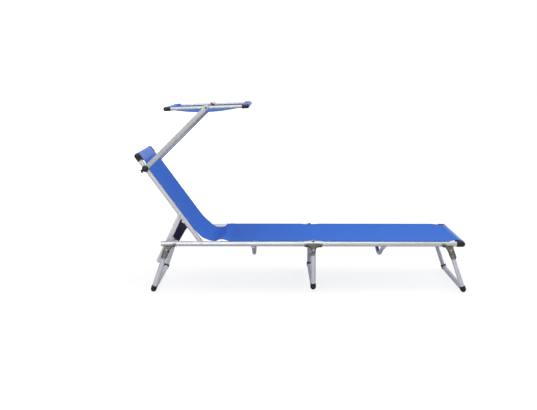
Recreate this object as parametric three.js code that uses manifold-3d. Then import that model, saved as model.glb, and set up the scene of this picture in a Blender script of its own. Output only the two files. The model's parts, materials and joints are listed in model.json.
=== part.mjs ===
// Folding sun lounger with a tilting canopy, in millimetres, +Z up.
// +X points to the foot end, -Y is the near side, and the floor is Z = 0.
// While it is built, X = 0 is the fold in the middle; the last lines centre the whole on the origin.
import * as THREE from "three";
import { mergeVertices } from "three/addons/utils/BufferGeometryUtils.js";
import Module from "manifold-3d";

const wasm = await Module();
wasm.setup();

// Driving dimensions

const railSpacing = 554; // between the centre lines of the two main rails
const railDiameter = 26;
const railWall = 1.2;
const railHeight = 250; // floor to centre line
const rearLength = 780; // fold to the open rear end of the rail
const frontLength = 776; // fold to the outside of the foot end
const railEndGap = 1; // each rail stops this far short of the fold

const backrestPivotBack = 575; // fold to the backrest pivot
const backrestTube = 23;
const backrestWall = 1.2;
const backrestLength = 566; // pivot to the outside of the head end
const backrestAngle = 54; // degrees, as set in use
const backrestHeel = 12; // tube left beyond the pivot
const railClear = 1.5; // between the backrest rails and the main rails beside them

const legTube = 25;
const legWall = 1.2;
const floorTube = 25;
const floorWall = 1.2;
const legSplay = 19; // degrees
const rearLegFromEnd = 28; // open rear end to the rear leg pivot
const frontLegFromEnd = 74; // outside of the foot end to the front leg pivot
const middleFootClear = 12; // the middle feet hang this far above the floor until someone lies down

const stretcherTube = 20;
const stretcherWall = 1.5;
const stretcherDrop = 107; // rail centre line to the lowest point of the bow
const rearStretcherBack = 308;
const frontStretcherOut = 364;

const propReach = 181; // backrest pivot to prop pivot, along the backrest
const propDrop = 2.5; // prop pivot below the centre line of the backrest rail
const propLength = 278; // prop pivot to its free tip
const propWidth = 24;
const propThickness = 4;
const notchPitch = 34;
const notchCount = 3;
const notchDepth = 3;

const armFromHead = 90; // outside of the head end to arm clamp
const armLength = 437; // between its two pivots
const armWidth = 25;
const armThickness = 10;
const armWall = 1.2;
const armAngle = 81.3; // degrees between arm and backrest

const canopyLength = 434; // over the corner caps
const canopyTube = 17;
const canopyWall = 1.2;
const canopyRise = 2; // degrees, front edge up
const canopySag = 20;

const clothThickness = 1.5;
const seatSag = 9;
const backrestSag = 7;
const clothOverlap = 4; // cloth beyond the centre line of the tube that carries it

const boltDiameter = 8;
const pieceGap = 0.3; // between pieces that touch
const turnGap = 0.5; // between pieces that turn past each other
const boreGap = 0.4; // round a pin in its hole
const cutOverrun = 4; // how far a cutting shape runs past the wall it cuts

const flatWidth = 4.5; // a round face has flats about this wide, within the two counts below
const fewestFlats = 10;
const mostFlats = 14;
const halfTurn = Math.PI;
const quarterTurn = Math.PI / 2;
const degrees = halfTurn / 180;

// Worked out from them

const railY = railSpacing / 2;
const railRadius = railDiameter / 2;
const railTop = railHeight + railRadius;
const railInside = railY - railRadius;
const boltRadius = boltDiameter / 2;
const backrestRadius = backrestTube / 2;
const backrestY = railInside - railClear - backrestRadius;
const backrestInside = backrestY - backrestRadius;
const armReach = backrestLength - armFromHead;
const rearLegBack = rearLength - rearLegFromEnd; // fold to the rear leg pivot
const frontLegOut = frontLength - frontLegFromEnd; // fold to the front leg pivot
const sides = { near: -1, far: 1 };

// Finishes

function finish(color, roughness, metalness) {
  return new THREE.MeshStandardMaterial({ color, roughness, metalness });
}
const bareAluminium = finish(0xc9cacd, 0.38, 0.9);
const greyAluminium = finish(0xaeaeb8, 0.45, 0.8);
const zincSteel = finish(0x8d8d83, 0.5, 0.8);
const blackPlastic = finish(0x16171b, 0.6, 0);
const blueCloth = finish(0x3f6ccb, 0.85, 0);
const charcoalPanel = finish(0x2b303c, 0.8, 0);

// Solids

// Half the number of flats round a bar, as the shapes count them
function halfFlats(diameter) {
  const count = Math.min(Math.max((diameter * halfTurn) / flatWidth, fewestFlats), mostFlats);
  return Math.round(count / 2);
}

function solid(geometry) {
  const bare = geometry.clone();
  bare.deleteAttribute("normal");
  bare.deleteAttribute("uv");
  const merged = mergeVertices(bare, 1e-4);
  const vertProperties = new Float32Array(merged.attributes.position.array);
  const triVerts = new Uint32Array(merged.index.array);
  return new wasm.Manifold(new wasm.Mesh({ numProp: 3, vertProperties, triVerts }));
}

function geometryOf(manifold) {
  const mesh = manifold.getMesh();
  const geometry = new THREE.BufferGeometry();
  geometry.setAttribute("position", new THREE.BufferAttribute(new Float32Array(mesh.vertProperties), 3));
  geometry.setIndex(new THREE.BufferAttribute(new Uint32Array(mesh.triVerts), 1));
  geometry.computeVertexNormals();
  return geometry;
}

const join = (...solids) => solids.reduce((whole, next) => whole.add(next));
const cut = (whole, ...tools) => tools.reduce((left, tool) => left.subtract(tool), whole);

function add(parent, name, manifold, material) {
  const mesh = new THREE.Mesh(geometryOf(manifold), material);
  mesh.name = name;
  parent.add(mesh);
}

const inOrder = (a, b) => [Math.min(a, b), Math.max(a, b)];

function group(parent, x, z, turn) {
  const made = new THREE.Group();
  made.position.set(x, 0, z);
  made.rotation.y = turn * degrees;
  parent.add(made);
  return made;
}

// A block between two corners
function block(low, high) {
  const size = high.map((value, axis) => value - low[axis]);
  const geometry = new THREE.BoxGeometry(...size);
  geometry.translate(...low.map((value, axis) => value + size[axis] / 2));
  return solid(geometry);
}

function ringShape(radius, wall) {
  const shape = new THREE.Shape();
  shape.absarc(0, 0, radius, 0, halfTurn * 2, false);
  if (wall > 0) {
    const bore = new THREE.Path();
    bore.absarc(0, 0, radius - wall, 0, halfTurn * 2, true);
    shape.holes.push(bore);
  }
  return shape;
}

function prism(shape, depth, curveSegments = fewestFlats / 2) {
  return new THREE.ExtrudeGeometry(shape, { depth, bevelEnabled: false, curveSegments });
}

// A round bar or tube along X, from one X to another
function barX(from, to, y, z, diameter, wall = 0) {
  const geometry = prism(ringShape(diameter / 2, wall), to - from, halfFlats(diameter));
  geometry.rotateY(quarterTurn);
  geometry.translate(from, y, z);
  return solid(geometry);
}

// The same along Y
function barY(from, to, x, z, diameter, wall = 0) {
  const low = Math.min(from, to);
  const geometry = prism(ringShape(diameter / 2, wall), Math.abs(to - from), halfFlats(diameter));
  geometry.rotateX(-quarterTurn);
  geometry.translate(x, low, z);
  return solid(geometry);
}

// The same along Z
function barZ(from, to, x, y, diameter, wall = 0) {
  const geometry = prism(ringShape(diameter / 2, wall), to - from, halfFlats(diameter));
  geometry.translate(x, y, from);
  return solid(geometry);
}

function ball(x, y, z, diameter) {
  const around = halfFlats(diameter) * 2;
  const geometry = new THREE.SphereGeometry(diameter / 2, around, around / 2);
  geometry.rotateX(quarterTurn);
  geometry.translate(x, y, z);
  return solid(geometry);
}

// A plate in the XZ plane, from one Y to another
function plate(shape, from, to) {
  const low = Math.min(from, to);
  const geometry = prism(shape, Math.abs(to - from));
  geometry.rotateX(quarterTurn);
  geometry.translate(0, low + Math.abs(to - from), 0);
  return solid(geometry);
}

// A plastic elbow over the ends of two tubes whose axes meet at (x, y, z).
// One tube runs along X towards alongX, the other along Y towards alongY.
function elbow(x, y, z, alongX, alongY, tube, plug) {
  const outer = tube + plug.wall * 2;
  const bore = tube + pieceGap * 2;
  const body = join(
    barX(...inOrder(x, x + alongX * plug.reach), y, z, outer),
    barY(y, y + alongY * plug.reach, x, z, outer),
    ball(x, y, z, outer),
  );
  const start = plug.stop;
  const end = plug.reach + cutOverrun;
  const boreX = barX(...inOrder(x + alongX * start, x + alongX * end), y, z, bore);
  return cut(body, boreX, barY(y + alongY * start, y + alongY * end, x, z, bore));
}

// Cloth

const acrossSteps = 6;

// A sheet that follows a side profile. stations lists the places along it where the sheet may bend,
// place(s) gives x, z and the slope at s, halfWidth(s) the half width there,
// and sag(s, v) how far it hangs at v across (-1 to 1).
function sheet({ stations, place, halfWidth, sag }) {
  const steps = stations.length - 1;
  const geometry = new THREE.BoxGeometry(steps, 2, clothThickness, steps, acrossSteps, 1);
  const points = geometry.attributes.position;
  for (let i = 0; i < points.count; i += 1) {
    const s = stations[Math.round(points.getX(i) + steps / 2)];
    const v = points.getY(i);
    const lift = points.getZ(i) - sag(s, v);
    const { x, z, slope } = place(s);
    points.setXYZ(i, x - Math.sin(slope) * lift, v * halfWidth(s), z + Math.cos(slope) * lift);
  }
  return solid(geometry);
}

// Evenly spaced places from one value to another, without the first
function spread(from, to, steps) {
  return Array.from({ length: steps }, (_, i) => from + ((to - from) * (i + 1)) / steps);
}

// A profile made of straight runs and arcs, each { run } or { turn, radius } with its number of steps
function profile(start, heading, pieces) {
  const spans = [];
  const stations = [0];
  let { x, z } = start;
  let slope = heading;
  let s = 0;
  for (const piece of pieces) {
    const length = piece.run ?? Math.abs(piece.turn) * piece.radius;
    const bend = piece.run === undefined ? Math.sign(piece.turn) / piece.radius : 0;
    spans.push({ s, x, z, slope, bend, length });
    const end = pointOn(spans[spans.length - 1], length);
    ({ x, z, slope } = end);
    stations.push(...spread(s, s + length, piece.steps));
    s += length;
  }
  const place = (at) => {
    const span = spans.findLast((one) => at >= one.s) ?? spans[0];
    return pointOn(span, at - span.s);
  };
  return { length: s, stations, place };
}

function pointOn(span, along) {
  const slope = span.slope + span.bend * along;
  if (span.bend === 0) {
    return { x: span.x + Math.cos(slope) * along, z: span.z + Math.sin(slope) * along, slope };
  }
  return {
    x: span.x + (Math.sin(slope) - Math.sin(span.slope)) / span.bend,
    z: span.z - (Math.cos(slope) - Math.cos(span.slope)) / span.bend,
    slope,
  };
}

const smooth = (t) => {
  const held = Math.min(Math.max(t, 0), 1);
  return held * held * (3 - 2 * held);
};

// Fold hinge in the main rails

const hinge = {
  eyeRadius: 7,
  leaf: 4, // thickness of the single leaf
  fork: 2, // thickness of each fork plate
  root: 26, // how far the plates run into the rail
  depth: 14, // and how far down from the axis
  reliefShare: 0.5, // of the eye radius, where the plate steps back under the axis
  lift: 0.5, // axis above the top of the rail
};
const foldHeight = railTop + hinge.lift;

function hingePlate(direction, yLow, yHigh) {
  const shape = new THREE.Shape();
  shape.absarc(0, 0, hinge.eyeRadius, 0, halfTurn * 2, false);
  const eye = plate(shape, yLow, yHigh);
  const [low, high] = inOrder(0, direction * hinge.root);
  const tail = block([low, yLow, -hinge.depth], [high, yHigh, 0]);
  const clear = hinge.eyeRadius + turnGap;
  const relief = block(
    [Math.min(0, direction * clear), yLow - cutOverrun, -hinge.depth - cutOverrun],
    [Math.max(0, direction * clear), yHigh + cutOverrun, -hinge.eyeRadius * hinge.reliefShare],
  );
  return join(eye, cut(tail, relief)).translate([0, 0, foldHeight]);
}

function hingeNotch(y) {
  const half = hinge.leaf / 2 + pieceGap * 2 + hinge.fork + turnGap;
  return barY(y - half, y + half, 0, foldHeight, (hinge.eyeRadius + turnGap) * 2);
}

// Rear half of the main frame: rails, stretcher, brackets and seat cloth

const plug = { reach: 30, wall: 1.6, stop: 15 };

function rearRail(side) {
  const y = side * railY;
  const tube = cut(barX(-rearLength, -railEndGap, y, railHeight, railDiameter, railWall), hingeNotch(y));
  const forkGap = hinge.leaf / 2 + pieceGap;
  const fork = join(
    hingePlate(-1, y - forkGap - hinge.fork, y - forkGap),
    hingePlate(-1, y + forkGap, y + forkGap + hinge.fork),
    barY(y - forkGap - hinge.fork, y + forkGap + hinge.fork, 0, foldHeight, boltDiameter - 2 * boreGap),
  );
  const backrestPin = barY(
    side * (railY + railRadius - railWall),
    side * (backrestInside - pinEnd),
    -backrestPivotBack,
    railHeight,
    boltDiameter,
  );
  return join(tube, fork, backrestPin);
}

const pinEnd = 2; // a pin stands this far through the last wall

class Bow extends THREE.Curve {
  getPoint(t, target = new THREE.Vector3()) {
    const y = (2 * t - 1) * (railY + railRadius / 2);
    const inside = Math.min(Math.abs(y) / railInside, 1);
    const fall = Math.cos(inside * quarterTurn) ** 2;
    return target.set(0, y, bowEnd - (bowEnd - bowLow) * fall);
  }
}

const bowEnd = railHeight - railRadius - pieceGap - stretcherTube / 2;
const bowLow = railHeight - stretcherDrop + stretcherTube / 2;
const bowSteps = 16;

function stretcher(x) {
  const geometry = new THREE.ExtrudeGeometry(ringShape(stretcherTube / 2, stretcherWall), {
    extrudePath: new Bow(),
    steps: bowSteps,
    bevelEnabled: false,
    curveSegments: fewestFlats / 2,
  });
  geometry.translate(x, 0, 0);
  return solid(geometry);
}

// Leg brackets: two cheeks, a top plate, a stop behind the leg and the pivot bolt

const bracket = {
  sheet: 2,
  arm: 46, // from the pivot along the rail, on the side the leg folds to
  back: 18, // and on the other side of a splayed leg
  tip: 5, // height of the arm's end below the top plate
  over: 1, // the outer cheek rises this far above the centre line of the rail
  corner: 5, // cut off both ends of its upper edge
  cover: 34, // how far the cheeks reach down the leg
  stopFrom: 16, // the stop starts and ends this far down the leg
  stopTo: 30,
  legTop: 9, // leg above its pivot
  bendShare: 1.5, // of the leg radius, the corner of the curved edge
  endShare: 0.8, // of the leg radius, half the width of the cheek's lower end
};
const legRadius = legTube / 2;
const legSwing = Math.hypot(legRadius, bracket.legTop);
const plateUnder = railHeight - railRadius - pieceGap - bracket.sheet;
const legPivotHeight = plateUnder - turnGap - legSwing;
const plateRise = plateUnder - legPivotHeight;
const cheekInside = railRadius + pieceGap;

// foldTo is +1 where the leg folds towards +X. splay leans the leg the other way.
// back is the length on the side away from the fold, and top the height of the upper edge.
function cheekShape(foldTo, splay, back, top) {
  const down = (u, w) => {
    const lean = splay * degrees;
    return [foldTo * (w * Math.cos(lean) - u * Math.sin(lean)), -u * Math.cos(lean) - w * Math.sin(lean)];
  };
  const tipLow = plateRise - bracket.tip;
  const shape = new THREE.Shape();
  shape.moveTo(-foldTo * back, top - bracket.corner);
  shape.lineTo(-foldTo * (back - bracket.corner), top);
  shape.lineTo(foldTo * (bracket.arm - bracket.corner), top);
  shape.lineTo(foldTo * bracket.arm, top - bracket.corner);
  shape.lineTo(foldTo * bracket.arm, tipLow);
  const bend = down(-legRadius, legRadius * bracket.bendShare);
  const endHalf = legRadius * bracket.endShare;
  shape.quadraticCurveTo(...bend, ...down(bracket.cover, endHalf));
  shape.lineTo(...down(bracket.cover, -endHalf));
  const behind = -legRadius - turnGap - bracket.sheet;
  shape.lineTo(...down(bracket.stopTo, behind));
  shape.quadraticCurveTo(...down(0, behind), -foldTo * back, tipLow);
  shape.closePath();
  return shape;
}

function legBracket(side, foldTo, splay, innerReach) {
  const y = side * railY;
  const outer = cheekInside + bracket.sheet;
  const back = splay > 0 ? bracket.back : bracket.arm;
  const innerCheek = cheekShape(foldTo, splay, back, plateRise + bracket.sheet / 2);
  const outerCheek = cheekShape(foldTo, splay, back, railHeight - legPivotHeight + bracket.over);
  const [xLow, xHigh] = inOrder(-foldTo * (back - bracket.corner), foldTo * (bracket.arm - bracket.corner));
  const topPlate = block([xLow, y - outer, plateRise], [xHigh, y + outer, plateRise + bracket.sheet]);
  const stopGeometry = new THREE.BoxGeometry(bracket.sheet, outer * 2, bracket.stopTo - bracket.stopFrom);
  const stopDown = (bracket.stopTo + bracket.stopFrom) / 2;
  stopGeometry.translate(-foldTo * (legRadius + turnGap + bracket.sheet / 2), 0, -stopDown);
  stopGeometry.rotateY(foldTo * splay * degrees);
  stopGeometry.translate(0, y, 0);
  const bolt = barY(side * (railY + outer + pinEnd), side * innerReach, 0, 0, boltDiameter);
  return join(
    plate(innerCheek, y - side * outer, y - side * cheekInside),
    plate(outerCheek, y + side * cheekInside, y + side * outer),
    topPlate,
    solid(stopGeometry),
    bolt,
  );
}

// Legs: two tubes, a floor bar between them and a plastic foot at each corner

const foot = { reach: 18, wall: 2, flat: 1 }; // flat is what the floor cuts off its round end
const footStop = floorTube / 2 + pieceGap;
const floorBarHeight = legRadius + foot.wall - foot.flat;

function legFrame(parent, name, x, foldTo, splay, clear) {
  const legs = group(parent, x, legPivotHeight, foldTo * splay);
  const lean = splay * degrees;
  const drop = legPivotHeight - clear;
  const down = (drop - floorBarHeight) / Math.cos(lean);
  const holeHalf = legRadius + cutOverrun;
  for (const [where, side] of Object.entries(sides)) {
    const y = side * railY;
    const tube = barZ(-down + footStop + pieceGap, bracket.legTop, 0, y, legTube, legWall);
    const hole = barY(y - holeHalf, y + holeHalf, 0, 0, boltDiameter + 2 * boreGap);
    add(legs, `${name}_leg_${where}`, cut(tube, hole), greyAluminium);
    add(legs, `${name}_foot_${where}`, legFoot(side, down, drop, lean * foldTo), blackPlastic);
  }
  const barEnd = railY - footStop - pieceGap;
  add(legs, `${name}_floor_bar`, barY(-barEnd, barEnd, 0, -down, floorTube, floorWall), greyAluminium);
}

function legFoot(side, down, drop, lean) {
  const y = side * railY;
  const outer = legTube + foot.wall * 2;
  const sleeve = floorTube + foot.wall * 2;
  const body = join(
    barZ(-down, -down + foot.reach, 0, y, outer),
    barY(y, y - side * foot.reach, 0, -down, sleeve),
    ball(0, y, -down, outer),
  );
  const legBore = barZ(-down + footStop, -down + foot.reach + cutOverrun, 0, y, legTube + 2 * pieceGap);
  const barBore = barY(
    y - side * footStop,
    y - side * (foot.reach + cutOverrun),
    0,
    -down,
    floorTube + 2 * pieceGap,
  );
  const floor = new THREE.BoxGeometry(railSpacing, railSpacing, railSpacing);
  floor.translate(0, y, -drop - railSpacing / 2);
  const under = solid(floor).rotate([0, -lean / degrees, 0]);
  return cut(body, legBore, barBore, under);
}

// Seat cloth. The hip loop is the slack between backrest and seat.

const hip = {
  valleyOut: 98, // backrest pivot to the lowest point of the slack
  valleyDrop: 7, // its depth below the rail centre line
  seatOut: 168, // backrest pivot to where the cloth reaches the rails
  clear: 8, // cloth inside the rails here
  widenShare: 0.9, // of the way from valley to rails where the cloth starts to widen
  widenRun: 42, // and the length it takes
  split: 1.2, // half the gap between seat cloth and backrest cloth
};
const clothLift = pieceGap + clothThickness / 2;
const seatLevel = railTop + clothLift;
const seatHalf = railY + clothOverlap;
const hipHalf = railInside - hip.clear;
const loopSteps = 8;
const seatSteps = 12;
const wrapSteps = 8;
const foldNotch = { reach: 50, depth: 16, gap: 1.5 };

function cornerNotch(direction, level) {
  const inside = seatHalf - foldNotch.depth;
  const [xLow, xHigh] = inOrder(-direction * cutOverrun, direction * foldNotch.reach);
  return Object.values(sides).map((side) => {
    const [yLow, yHigh] = inOrder(side * inside, side * (seatHalf + cutOverrun));
    return block([xLow, yLow, level - railRadius], [xHigh, yHigh, level + railRadius]);
  });
}

function rearSling() {
  const fromValley = hip.seatOut - hip.valleyOut;
  const rise = seatLevel - (railHeight - hip.valleyDrop);
  const start = -backrestPivotBack + hip.valleyOut + hip.split;
  const length = -foldNotch.gap - start;
  const place = (s) => {
    const t = Math.min((s + hip.split) / fromValley, 1);
    const slope = t < 1 ? Math.atan((rise / fromValley) * 6 * t * (1 - t)) : 0;
    return { x: start + s, z: seatLevel - rise * (1 - smooth(t)), slope };
  };
  const widened = (s) => smooth((s - fromValley * hip.widenShare) / hip.widenRun);
  const halfWidth = (s) => hipHalf + (seatHalf - hipHalf) * widened(s);
  const sag = (s, v) => seatSag * (1 - v * v) * smooth(s / fromValley);
  const stations = [0, ...spread(0, fromValley, loopSteps), ...spread(fromValley, length, seatSteps)];
  return cut(sheet({ stations, place, halfWidth, sag }), ...cornerNotch(-1, seatLevel));
}

function frontSling() {
  const barX0 = frontLength - railRadius - plug.wall;
  const wrapRadius = railRadius + clothLift;
  const path = profile({ x: foldNotch.gap, z: seatLevel }, 0, [
    { run: barX0 - foldNotch.gap - plug.reach - hemCurve, steps: seatSteps },
    { run: hemCurve, steps: hemSteps },
    { run: plug.reach, steps: 1 },
    { turn: -wrapTurn, radius: wrapRadius, steps: wrapSteps },
  ]);
  const sleeveHalf = railY - plug.reach - pieceGap * 4;
  const taper = path.length - wrapRadius * wrapTurn - plug.reach;
  const halfWidth = (s) => seatHalf + (sleeveHalf - seatHalf) * smooth((s - taper + hemCurve) / hemCurve);
  const sag = (s, v) => seatSag * (1 - v * v) * (1 - smooth((s - taper + sagEnd) / sagEnd));
  return cut(sheet({ ...path, halfWidth, sag }), ...cornerNotch(1, seatLevel));
}

const wrapTurn = halfTurn; // how far the cloth goes round a cross bar
const hemSteps = 4;
const hemCurve = 45; // length of the curved notch beside a corner cap
const headHem = 60; // and of the longer one at the head
const sagEnd = 240; // the sag dies out over this length before a cross bar

// Front half of the main frame

function frontRail(side) {
  const y = side * railY;
  const end = frontLength - railRadius - plug.wall - plug.stop - pieceGap;
  const tube = cut(barX(railEndGap, end, y, railHeight, railDiameter, railWall), hingeNotch(y));
  const leaf = hingePlate(1, y - hinge.leaf / 2, y + hinge.leaf / 2);
  const bore = barY(y - hinge.leaf, y + hinge.leaf, 0, foldHeight, boltDiameter);
  return join(tube, cut(leaf, bore));
}

function buildRear(parent) {
  for (const [where, side] of Object.entries(sides)) {
    add(parent, `rear_rail_${where}`, rearRail(side), bareAluminium);
    const catchReach = backrestInside - turnGap - propThickness;
    const rear = group(parent, -rearLegBack, legPivotHeight, 0);
    add(rear, `rear_bracket_${where}`, legBracket(side, 1, legSplay, catchReach), zincSteel);
    const middle = group(parent, 0, legPivotHeight, 0);
    const throughLeg = railY - cheekInside - bracket.sheet - pinEnd;
    add(middle, `middle_bracket_${where}`, legBracket(side, 1, 0, throughLeg), zincSteel);
  }
  add(parent, "rear_stretcher", stretcher(-rearStretcherBack), greyAluminium);
  add(parent, "rear_sling", rearSling(), blueCloth);
}

function buildFront(parent) {
  const cornerX = frontLength - railRadius - plug.wall;
  for (const [where, side] of Object.entries(sides)) {
    const y = side * railY;
    add(parent, `front_rail_${where}`, frontRail(side), bareAluminium);
    const corner = elbow(cornerX, y, railHeight, -1, -side, railDiameter, plug);
    add(parent, `foot_corner_${where}`, corner, blackPlastic);
    const front = group(parent, frontLegOut, legPivotHeight, 0);
    const throughLeg = railY - cheekInside - bracket.sheet - pinEnd;
    add(front, `front_bracket_${where}`, legBracket(side, -1, legSplay, throughLeg), zincSteel);
  }
  const barEnd = railY - plug.stop - pieceGap;
  const bar = barY(-barEnd, barEnd, cornerX, railHeight, railDiameter, railWall);
  add(parent, "foot_crossbar", bar, bareAluminium);
  add(parent, "front_stretcher", stretcher(frontStretcherOut), greyAluminium);
  add(parent, "front_sling", frontSling(), blueCloth);
}

// Backrest, drawn lying flat towards -X from its pivot at the origin

const headPlug = { reach: 28, wall: 1.6, stop: 14 };

function backrestRail(side) {
  const y = side * backrestY;
  const end = headX + headPlug.stop + pieceGap;
  const tube = barX(end, backrestHeel, y, 0, backrestTube, backrestWall);
  const reach = backrestRadius + cutOverrun;
  const pivotHole = barY(y - reach, y + reach, 0, 0, boltDiameter + 2 * boreGap);
  const propPin = barY(
    side * (backrestY + backrestRadius + turnGap),
    side * (backrestInside - turnGap - propThickness - pinEnd),
    -propReach,
    -propDrop,
    boltDiameter,
  );
  return join(cut(tube, pivotHole), propPin);
}

const headX = -(backrestLength - backrestRadius - headPlug.wall);

function backrestSling() {
  const tilt = backrestAngle * degrees;
  const lift = backrestRadius + clothLift;
  const wrapRadius = lift;
  // the valley of the slack, as the raised backrest sees it
  const valley = {
    x: hip.valleyOut * Math.cos(tilt) + hip.valleyDrop * Math.sin(tilt),
    z: hip.valleyOut * Math.sin(tilt) - hip.valleyDrop * Math.cos(tilt),
  };
  // an arc leaves the backrest plane and meets the valley level with the floor, short of the seat cloth
  const rise = valley.z - lift;
  const slackRadius = Math.abs(rise) / (1 - Math.cos(tilt));
  const slackStart = valley.x - slackRadius * Math.sin(tilt);
  const flatRun = slackStart - headX;
  const path = profile(wrapStart(headX, wrapRadius, wrapTurn), wrapTurn, [
    { turn: -wrapTurn, radius: wrapRadius, steps: wrapSteps },
    { run: headPlug.reach, steps: 1 },
    { run: headHem, steps: hemSteps },
    { run: flatRun - headPlug.reach - headHem, steps: seatSteps },
    { turn: tilt, radius: slackRadius - hip.split, steps: loopSteps },
  ]);
  const wrapLength = wrapTurn * wrapRadius;
  const sleeveHalf = backrestY - headPlug.reach - pieceGap * 4;
  const clothHalf = backrestY + clothOverlap;
  const taper = wrapLength + headPlug.reach;
  const halfWidth = (s) => sleeveHalf + (clothHalf - sleeveHalf) * smooth((s - taper) / headHem);
  const sag = (s, v) => backrestSag * (1 - v * v) * smooth((s - wrapLength) / (sagEnd / 2));
  return sheet({ ...path, halfWidth, sag });
}

// Where a wrap round a bar at (x, 0) has to start so that it ends on top of the bar
function wrapStart(x, radius, turn) {
  return { x: x - Math.sin(turn) * radius, z: Math.cos(turn) * radius };
}

// Clamps that hold the canopy arms on a tube, each with a threaded boss for its wing knob

const clamp = { length: 30, wall: 3.5, boss: 4, bossWidth: 14, screw: 6, head: 14, headThickness: 2.5 };
const knob = { hub: 11, hubHeight: 6, wing: 22, wingHeight: 6, wingThickness: 4, wingFoot: 2, stem: 6.5 };
const armInside = backrestY + backrestRadius + pieceGap + clamp.wall + turnGap;
const canopyY = armInside - turnGap - clamp.wall - pieceGap - canopyTube / 2;

// turn is the angle of the boss round the tube, 0 above it.
// openAbove leaves the top of the tube free for cloth.
function armClamp(side, x, y, tube, turn, openAbove) {
  const half = tube / 2 + pieceGap + clamp.wall;
  const body = barX(x - clamp.length / 2, x + clamp.length / 2, y, 0, half * 2);
  const bore = barX(x - clamp.length, x + clamp.length, y, 0, tube + pieceGap * 2);
  const turned = (shape) => shape.rotate([turn, 0, 0]).translate([0, y, 0]);
  const boss = turned(barZ(half - clamp.wall, half + clamp.boss, x, 0, clamp.bossWidth));
  const screwBore = clamp.screw + boreGap * 2;
  const screwHole = turned(barZ(half - clamp.wall * 2, half + clamp.boss + cutOverrun, x, 0, screwBore));
  // the flat cheek that the arm turns against
  const [cheekLow, cheekHigh] = inOrder(y + side * half * cheekShare, side * (armInside - turnGap));
  const cheek = block(
    [x - clamp.length / 2, cheekLow, -clamp.bossWidth / 2],
    [x + clamp.length / 2, cheekHigh, clamp.bossWidth / 2],
  );
  const headFrom = armInside + armThickness + turnGap;
  const pin = barY(side * (armInside - clamp.wall), side * (headFrom + pinEnd), x, 0, boltDiameter);
  const head = barY(side * headFrom, side * (headFrom + clamp.headThickness), x, 0, clamp.head);
  const clear = tube * clampOpenShare;
  const opening = block(
    [x - clamp.length, y - half * 2, clear],
    [x + clamp.length, y + half * 2, clear + half * 2],
  );
  const shell = cut(join(body, boss, cheek), bore, screwHole);
  return join(openAbove ? cut(shell, opening) : shell, pin, head);
}

const bossBelow = 180; // degrees round the tube
const bossInside = 90; // towards the middle, times the side
const clampOpenShare = 0.3; // of the tube, above its axis
const cheekShare = 0.6; // of the clamp's half width, where the cheek starts

function wingKnob(parent, name, x, y, tube, turn) {
  const half = tube / 2 + pieceGap + clamp.wall + clamp.boss + pieceGap;
  const turned = new THREE.Group();
  const angle = turn * degrees;
  turned.position.set(x, y - Math.sin(angle) * half, Math.cos(angle) * half);
  turned.rotation.x = angle;
  parent.add(turned);
  const wingShape = new THREE.Shape();
  wingShape.absellipse(0, knob.hubHeight, knob.wing / 2, knob.wingHeight, 0, halfTurn * 2, false, 0);
  const wings = plate(wingShape, -knob.wingThickness / 2, knob.wingThickness / 2);
  const under = block([-knob.wing, -knob.wing, -knob.wing], [knob.wing, knob.wing, knob.wingFoot]);
  const hub = barZ(0, knob.hubHeight, 0, 0, knob.hub);
  const stem = barZ(-knob.stem, cutOverrun, 0, 0, clamp.screw);
  add(turned, name, join(cut(wings, under), hub, stem), blackPlastic);
}

function buildBackrest(parent) {
  const backrest = group(parent, -backrestPivotBack, railHeight, backrestAngle);
  for (const [where, side] of Object.entries(sides)) {
    const y = side * backrestY;
    const corner = elbow(headX, y, 0, 1, -side, backrestTube, headPlug);
    const holder = armClamp(side, -armReach, y, backrestTube, bossBelow, true);
    add(backrest, `backrest_rail_${where}`, backrestRail(side), bareAluminium);
    add(backrest, `head_corner_${where}`, corner, blackPlastic);
    add(backrest, `arm_clamp_${where}`, holder, blackPlastic);
    wingKnob(backrest, `arm_knob_${where}`, -armReach, y, backrestTube, bossBelow);
  }
  const barEnd = backrestY - headPlug.stop - pieceGap;
  const bar = barY(-barEnd, barEnd, headX, 0, backrestTube, backrestWall);
  add(backrest, "head_crossbar", bar, bareAluminium);
  add(backrest, "backrest_sling", backrestSling(), blueCloth);
  return backrest;
}

// Prop bars, drawn pointing to -X from their pivot. Notches on the underside catch the rear leg bolts.

const prop = { panelOut: 118, panelRise: 8, panelDepth: 62, panelThickness: 3, panelTilt: 14 };
const notchRadius = boltRadius + 2 * boreGap + turnGap;

// The angle of the bars, so that the notch nearest the tip rests on the bolt
function propSeat() {
  const tilt = backrestAngle * degrees;
  const x = -backrestPivotBack - propReach * Math.cos(tilt) - propDrop * Math.sin(tilt);
  const z = railHeight + propReach * Math.sin(tilt) - propDrop * Math.cos(tilt);
  const toBolt = { x: -rearLegBack - x, z: legPivotHeight - z };
  const distance = Math.hypot(toBolt.x, toBolt.z);
  const beside = propWidth / 2 - notchDepth + boltRadius + turnGap;
  const heading = Math.atan2(toBolt.z, toBolt.x) - Math.asin(beside / distance);
  const along = Math.sqrt(distance ** 2 - beside ** 2);
  return { along, turn: (halfTurn - heading) / degrees - backrestAngle };
}

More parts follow.
